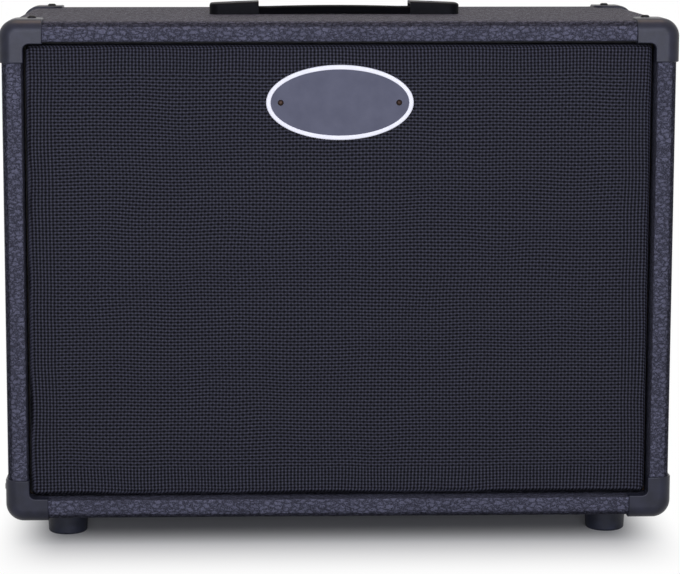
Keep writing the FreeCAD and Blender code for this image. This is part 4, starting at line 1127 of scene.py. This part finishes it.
@dataclass
class Box:
    """Panels, battens, rear board and the vinyl wrapped over the edges.

    Args:
        long_edge: Radius of the edges that run from front to back.
        face_edge: Radius of the edges round the front and the rear.
        inner_edge: Radius where the vinyl turns into the openings.
        inner_steps: Straight pieces in that turn.
        wrap: Width of the rail from the box's side to the opening.
        thickness: Thickness of the vinyl.
        front_turn: How deep the vinyl goes into the front opening.
        rear_turn: How deep it goes into the rear opening.
    """

    long_edge: float = 12 * MM
    face_edge: float = 8 * MM
    inner_edge: float = 1.4 * MM
    inner_steps: int = 4
    wrap: float = 15.2 * MM
    thickness: float = 0.6 * MM
    front_turn: float = 24.6 * MM
    rear_turn: float = 21 * MM

    def build(self, shop: Workshop) -> None:
        """Make the covering, dress the boards and set their screws.

        Args:
            shop: The workshop.
        """
        shop.place(self.covering(), "vinyl_covering", "cabinet")
        shop.dress_nodes([
            "top_panel", "bottom_panel", "left_panel", "right_panel",
            "baffle_battens", "rear_battens", "baffle_board", "rear_panel",
        ])
        for node in ("baffle_screws", "rear_panel_screws"):
            ScrewSet(node).build(shop)

    def covering(self) -> Piece:
        """Make the vinyl as one closed skin, turned into both openings.

        Returns:
            The covering.
        """
        low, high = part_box("vinyl_covering")
        outline = Outline(high.x, low.z, high.z, self.long_edge)
        stations = self.outside(low.y, high.y)
        for inset, y in reversed(stations[:]):
            depth = min(max(y, low.y + self.thickness), high.y - self.thickness)
            width = min(max(inset, self.thickness), self.wrap - self.thickness)
            stations.append((width, depth))
        return loft("covering", [outline.ring(inset, y) for inset, y in stations], closed=True)

    def outside(self, front: float, rear: float) -> list[Pair]:
        """Stations of the outer skin, from the front opening round to the rear one.

        Args:
            front: Depth of the front face.
            rear: Depth of the rear face.

        Returns:
            Inset and depth of each station.
        """
        wrap, face, steps = self.wrap, self.face_edge, self.inner_steps
        lip = wrap - self.inner_edge
        stations = [(wrap, front + self.front_turn)]
        stations += rounded((wrap, front + self.inner_edge), (lip, front), True, steps)
        stations += rounded((face, front), (0.0, front + face), False)
        stations += rounded((0.0, rear - face), (face, rear), True)
        stations += rounded((lip, rear), (wrap, rear - self.inner_edge), False, steps)
        stations.append((wrap, rear - self.rear_turn))
        return stations


@dataclass
class CornerProtectors:
    """Moulded caps on the eight corners, with their screws."""

    ends: tuple[str, str] = ("front", "rear")
    levels: tuple[str, str] = ("top", "bottom")
    sides: tuple[str, str] = ("left", "right")

    def build(self, shop: Workshop) -> None:
        """Dress the caps and set their screws."""
        shop.dress_nodes([
            f"corner_{end}_{level}_{side}"
            for end in self.ends
            for level in self.levels
            for side in self.sides
        ])
        ScrewSet("corner_screws").build(shop)


@dataclass
class Feet:
    """Rubber feet with their washers and screws."""

    ends: tuple[str, str] = ("front", "rear")
    sides: tuple[str, str] = ("left", "right")

    def build(self, shop: Workshop) -> None:
        """Dress the feet and set their screws.

        Args:
            shop: The workshop.
        """
        feet = [f"foot_{end}_{side}" for end in self.ends for side in self.sides]
        shop.dress_nodes(feet + ["foot_washers"])
        ScrewSet("foot_screws").build(shop)


@dataclass
class StrapHandle:
    """Strap on the top between two moulded caps."""

    def build(self, shop: Workshop) -> None:
        """Dress the handle and set its screws."""
        shop.dress_nodes([
            "handle_cap_left", "handle_cap_right", "handle_strap", "strap_core", "tee_nuts",
        ])
        ScrewSet("handle_screws").build(shop)


@dataclass
class Grille:
    """Cloth stretched over a frame, held by pads, with an oval badge.

    Args:
        corner: Corner radius of the cloth-covered frame.
        front_edge: Radius over the frame's front edge.
        back_edge: Radius round the frame's back edge.
        turn: How far the cloth is turned over the back of the frame.
        thickness: Thickness of the cloth.
        badge_edge: Radius of the badge's outer edge.
        badge_rim: Width of the badge's rim.
        badge_step: Width of the slope from the rim to the field.
        badge_sink: Depth of the field under the rim.
        small_steps: Straight pieces in the small rounds.
    """

    corner: float = 5 * MM
    front_edge: float = 3.8 * MM
    back_edge: float = 1.2 * MM
    turn: float = 16 * MM
    thickness: float = 0.8 * MM
    badge_edge: float = 0.9 * MM
    badge_rim: float = 3.5 * MM
    badge_step: float = 0.5 * MM
    badge_sink: float = 0.5 * MM
    small_steps: int = 4

    def build(self, shop: Workshop) -> None:
        """Make the cloth and the badge, and dress the rest.

        Args:
            shop: The workshop.
        """
        cloth = self.cloth()
        shop.place(cloth, "grille_cloth", "grille")
        shop.place(self.badge(shop), "badge_plate", "grille")
        shop.dress_nodes(["grille_frame", "loop_pads", "hook_pads", "badge_fasteners"])

    def cloth(self) -> Piece:
        """Make the cloth as a closed thin skin round the frame's edges.

        Returns:
            The cloth.
        """
        low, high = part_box("grille_cloth")
        outline = Outline(high.x, low.z, high.z, self.corner)
        front, back = low.y, high.y
        edge, round_back, thin = self.front_edge, self.back_edge, self.thickness
        stations = [(2 * edge, front)]
        stations += rounded((edge, front), (0.0, front + edge), False)
        stations += rounded((0.0, back - round_back), (round_back, back), True, self.small_steps)
        stations.append((self.turn, back))
        for inset, y in reversed(stations[:]):
            stations.append((max(inset, thin), min(max(y, front + thin), back - thin)))
        rings = [outline.ring(inset, y) for inset, y in stations]
        return loft("grille_cloth_woven", rings, closed=False)

    def badge(self, shop: Workshop) -> Piece:
        """Make the badge: a rounded rim standing round a bare field.

        Args:
            shop: The workshop that holds the materials.

        Returns:
            The badge.
        """
        low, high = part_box("badge_plate")
        oval = Oval(high.x, (high.z - low.z) / 2, (low.z + high.z) / 2)
        front, back = low.y, high.y
        edge, rim, field_y = self.badge_edge, self.badge_rim, front + self.badge_sink
        slope = rim - self.badge_step
        stations = [(0.0, back)]
        stations += rounded((0.0, front + edge), (edge, front), True)
        stations += rounded((slope, front), (rim, field_y), False, self.small_steps)
        stations.append((rim + self.badge_step, field_y))
        piece = loft("badge_oval", [oval.ring(inset, y) for inset, y in stations], closed=False)
        for material in (shop.material("badge_face"), BADGE_FIELD.build()):
            piece.data.materials.append(material)
        reach = oval.half_width - rim + TOUCH
        rise = oval.half_height - rim + TOUCH
        for face in piece.data.polygons:
            centre = face.center
            spread = (centre.x / reach) ** 2 + ((centre.z - oval.centre_z) / rise) ** 2
            if spread < 1.0 and centre.y < (front + back) / 2:
                face.material_index = 1
        return piece


@dataclass
class Driver:
    """The twelve-inch driver behind the baffle.

    Args:
        sectors: Pieces that a sprung ring is cut into.
        edge_free: Radii between which the corrugated edge is free to flex. Not used.
        spider_free: Radii between which the centring disc is free to flex. Not used.
        lead_free: Where the flexible leads follow the cone and where they stay still, as
        shares of the way from the cone to the terminal board. Not used.
    """

    sectors: int = 12
    edge_free: Pair = (0.118, 0.133)
    spider_free: Pair = (0.029, 0.074)
    lead_free: Pair = (0.08, 0.55)

    def build(self, shop: Workshop) -> None:
        """Dress the driver, copy its sprung rings and leads in place of their nodes, and set its bolts.

        Args:
            shop: The workshop.
        """
        shop.dress_nodes([
            "speaker_basket", "speaker_gasket", "speaker_cone", "dust_cap",
            "voice_coil_former", "voice_coil_winding", "motor_top_plate",
            "ceramic_magnet", "motor_yoke", "terminal_board", "terminal_tabs",
        ])
        self.flex_ring(shop, "cone_surround")
        self.flex_ring(shop, "spider")
        self.flex_leads(shop)
        ScrewSet("speaker_bolts").build(shop)

    def flex_ring(self, shop: Workshop, node: str) -> None:
        """Cut a sprung ring into sectors that take the place of its CAD node.

        The ring is cut along planes through the driver's axis, and each cut is closed.

        Args:
            shop: The workshop.
            node: The ring's CAD node.
        """
        x, z = driver_axis()
        axis = Vector((x, 0.0, z))
        half = math.pi / self.sectors
        for index in range(self.sectors):
            turn = 2 * half * index
            work = node_copy(node)
            for side in (-1, 1):
                edge = turn + side * half
                beyond = Vector((-math.sin(edge), 0.0, math.cos(edge))) * side
                cut = bmesh.ops.bisect_plane(
                    work,
                    geom=work.verts[:] + work.edges[:] + work.faces[:],
                    dist=TOUCH,
                    plane_co=axis,
                    plane_no=beyond,
                    clear_outer=True,
                )["geom_cut"]
                rim = [part for part in cut if isinstance(part, bmesh.types.BMEdge)]
                bmesh.ops.edgeloop_fill(work, edges=rim)
            bmesh.ops.recalc_face_normals(work, faces=work.faces)
            sector = finished(work, f"{node}_{index + 1}")
            shop.bend(sector, node)

    def flex_leads(self, shop: Workshop) -> None:
        """Put a smoothly shaded copy of the flexible leads in place of their CAD node.

        Args:
            shop: The workshop.
        """
        leads = finished(node_copy("tinsel_leads"), "tinsel_leads_flexing")
        shop.bend(leads, "tinsel_leads")


@dataclass
class JackPanel:
    """Plate on the rear board with the input jack and its leads."""

    def build(self, shop: Workshop) -> None:
        """Dress the plate, the jack and the leads, and set the screws."""
        shop.dress_nodes(["jack_plate", "input_jack", "jack_nut", "speaker_leads"])
        ScrewSet("jack_plate_screws").build(shop)


@dataclass(frozen=True)
class SoftBox:
    """A large lamp that shines evenly from a rectangle.

    Args:
        name: Name of the lamp.
        place: Where it stands, in metres.
        aim: The point that it looks at.
        size: Width and height.
        power: Its power, in watts.
        colour: Its colour.
        lights_floor: Whether the floor gets its light too.
    """

    name: str
    place: Triple
    aim: Triple
    size: Pair
    power: float
    colour: str
    lights_floor: bool = False

    def build(self, floor: Piece) -> None:
        """Set the lamp up, with a card that keeps it off the floor unless it lights that too.

        Args:
            floor: The floor.
        """
        lamp = bpy.data.lights.new(self.name, "AREA")
        lamp.shape = "RECTANGLE"
        lamp.size, lamp.size_y = self.size
        lamp.energy = self.power
        lamp.color = linear(self.colour)[:3]
        stand = linked(self.name, lamp)
        stand.location = self.place
        direction = Vector(self.aim) - Vector(self.place)
        stand.rotation_euler = direction.to_track_quat("-Z", "Y").to_euler()
        if not self.lights_floor:
            shaded = bpy.data.collections.new("kept from " + self.name)
            shaded.objects.link(floor)
            shaded.collection_objects[0].light_linking.link_state = "EXCLUDE"
            stand.light_linking.receiver_collection = shaded


# Two plain lamps, then a warm one above and cool ones in front that leave the floor white.
LAMPS = (
    SoftBox("overhead", (0.0, 0.6, 4.0), (0.0, 0.4, 0.0), (3.6, 1.9), 36.0, "#fff0de", True),
    SoftBox("front", (0.0, -3.0, 0.5), (0.0, 0.0, 0.3), (1.5, 0.7), 21.5, "#f4f5ff", True),
    SoftBox("warm overhead", (0.0, 0.6, 3.8), (0.0, 0.2, 0.0), (2.0, 1.5), 26.0, "#ffc890"),
    SoftBox("upper front", (0.0, -1.6, 0.9), (0.0, -0.1, 0.3), (1.6, 0.4), 16.0, "#e3e6ff"),
    SoftBox("left strip", (-0.85, -2.9, 0.22), (-0.25, -0.13, 0.36), (0.25, 0.4), 11.0, "#e3e6ff"),
    SoftBox("right strip", (0.75, -3.0, 0.25), (0.25, -0.13, 0.36), (0.22, 0.4), 9.5, "#e3e6ff"),
)


@dataclass
class Studio:
    """Pale floor, soft lamps and the camera.

    Args:
        floor_size: Length of the floor's sides.
        shadow_reach: Distances in front of the cabinet or behind it, less than 0 under it,
            between which the floor turns plain white.
        side_reach: The same to either side of it.
        floor_light: The floor's tone as it is seen.
        floor_dark: The floor's tone as the cabinet meets its light.
        white: What is seen away from the cabinet.
        ambient: Strength of the light from all round.
        ambient_tone: Its colour.
        camera_place: Where the camera stands.
        camera_pitch: How far it looks down, in degrees.
        camera_yaw: How far it looks aside, in degrees.
        camera_lens: Focal length, in millimetres.
        camera_shift: Shift of the lens, as shares of the image width.
    """

    floor_size: float = 40.0
    shadow_reach: Pair = (-0.058, 0.102)
    side_reach: Pair = (-0.047, 0.014)
    floor_light: str = "#f6f7f9"
    floor_dark: str = "#5c5c5c"
    white: str = "#ffffff"
    ambient: float = 0.35
    ambient_tone: str = "#f5f6ff"
    camera_place: Triple = (-0.079, -1.977, 0.492)
    camera_pitch: float = 7.89
    camera_yaw: float = -1.49
    camera_lens: float = 130.8
    camera_shift: Pair = (0.06, -0.07)

    def build(self) -> None:
        """Set up the floor, the light and the camera."""
        floor = self.floor()
        self.world()
        for lamp in LAMPS:
            lamp.build(floor)
        self.camera()
        bpy.context.scene.view_settings.view_transform = "Standard"

    def seen_rays(self, tree: Tree) -> Node:
        """1 for rays that show the background itself: straight, mirrored or through glass.

        Args:
            tree: The tree that asks.

        Returns:
            The mask.
        """
        rays = add_node(tree, "ShaderNodeLightPath").outputs
        plain = {0: rays["Is Camera Ray"], 1: rays["Is Glossy Ray"]}
        either = add_node(tree, MATH, plain, operation="MAXIMUM")
        through = {0: either, 1: rays["Is Transmission Ray"]}
        return add_node(tree, MATH, through, operation="MAXIMUM")

    def floor(self) -> Piece:
        """Lay the floor: lit near the cabinet, so that it keeps the shadow, and plain white away.

        Returns:
            The floor.
        """
        half = self.floor_size / 2
        corners = [(-half, -half, 0.0), (half, -half, 0.0), (half, half, 0.0), (-half, half, 0.0)]
        mesh = bpy.data.meshes.new("floor")
        mesh.from_pydata(corners, [], [(0, 1, 2, 3)])
        floor = linked("floor", mesh)
        material = bpy.data.materials.new("white_paper_floor")
        tree = bare_tree(material)
        place = add_node(tree, COORDINATES).outputs["Object"]
        folded = add_node(tree, VECTOR_MATH, {0: place}, operation="ABSOLUTE")
        outline = {0: folded, 1: tuple(CAD_BOX[1])}
        beyond = add_node(tree, VECTOR_MATH, outline, operation="SUBTRACT")
        sides = add_node(tree, SEPARATE, {"Vector": beyond}).outputs
        lit = []
        for axis, (near, far) in (("X", self.side_reach), ("Y", self.shadow_reach)):
            fade = {"From Min": near, "From Max": far, "To Min": 1.0, "To Max": 0.0}
            fade["Value"] = sides[axis]
            lit.append(add_node(tree, MAP_RANGE, fade, interpolation_type="SMOOTHSTEP"))
        near_share = add_node(tree, MATH, {0: lit[0], 1: lit[1]}, operation="MULTIPLY")
        away = add_node(tree, MATH, {0: 1.0, 1: near_share}, operation="SUBTRACT")
        seen = self.seen_rays(tree)
        share = add_node(tree, MATH, {0: away, 1: seen}, operation="MULTIPLY")
        ends = {MIX_DARK: linear(self.floor_dark), MIX_LIGHT: linear(self.floor_light)}
        tone = add_node(tree, MIX, {MIX_FACTOR: seen, **ends}, data_type="RGBA")
        paper = add_node(tree, "ShaderNodeBsdfDiffuse", {"Color": tone})
        plain = {"Color": linear(self.white), "Strength": 1.0}
        white = add_node(tree, "ShaderNodeEmission", plain)
        surface = add_node(tree, MIX_SHADER, {0: share, 1: paper, 2: white})
        add_node(tree, SURFACE, {"Surface": surface})
        mesh.materials.append(material)
        return floor

    def world(self) -> None:
        """Soft light from all round, seen as plain white."""
        world = bpy.data.worlds.new("studio")
        bpy.context.scene.world = world
        tree = bare_tree(world)
        glow = {"Color": linear(self.ambient_tone), "Strength": self.ambient}
        plain = {"Color": linear(self.white), "Strength": 1.0}
        lights = [add_node(tree, BACKGROUND, light) for light in (glow, plain)]
        shown = add_node(tree, MIX_SHADER, {0: self.seen_rays(tree), 1: lights[0], 2: lights[1]})
        add_node(tree, "ShaderNodeOutputWorld", {"Surface": shown})

    def camera(self) -> None:
        """Set the camera up where the photograph was taken from."""
        lens = bpy.data.cameras.new("camera")
        lens.lens = self.camera_lens
        lens.shift_x, lens.shift_y = self.camera_shift
        camera = linked("camera", lens)
        camera.location = self.camera_place
        pitch, yaw = math.radians(90 - self.camera_pitch), math.radians(self.camera_yaw)
        camera.rotation_euler = Euler((pitch, 0.0, yaw))
        bpy.context.scene.camera = camera


def main() -> None:
    """Build every sub-assembly and the studio."""
    logging.basicConfig(level=logging.INFO, format="%(name)s: %(message)s")
    shop = Workshop()
    assemblies = (
        Box(), CornerProtectors(), Feet(), StrapHandle(), Grille(), Driver(), JackPanel(),
    )
    for assembly in assemblies:
        assembly.build(shop)
    Studio().build()


if __name__ == "__main__":
    main()
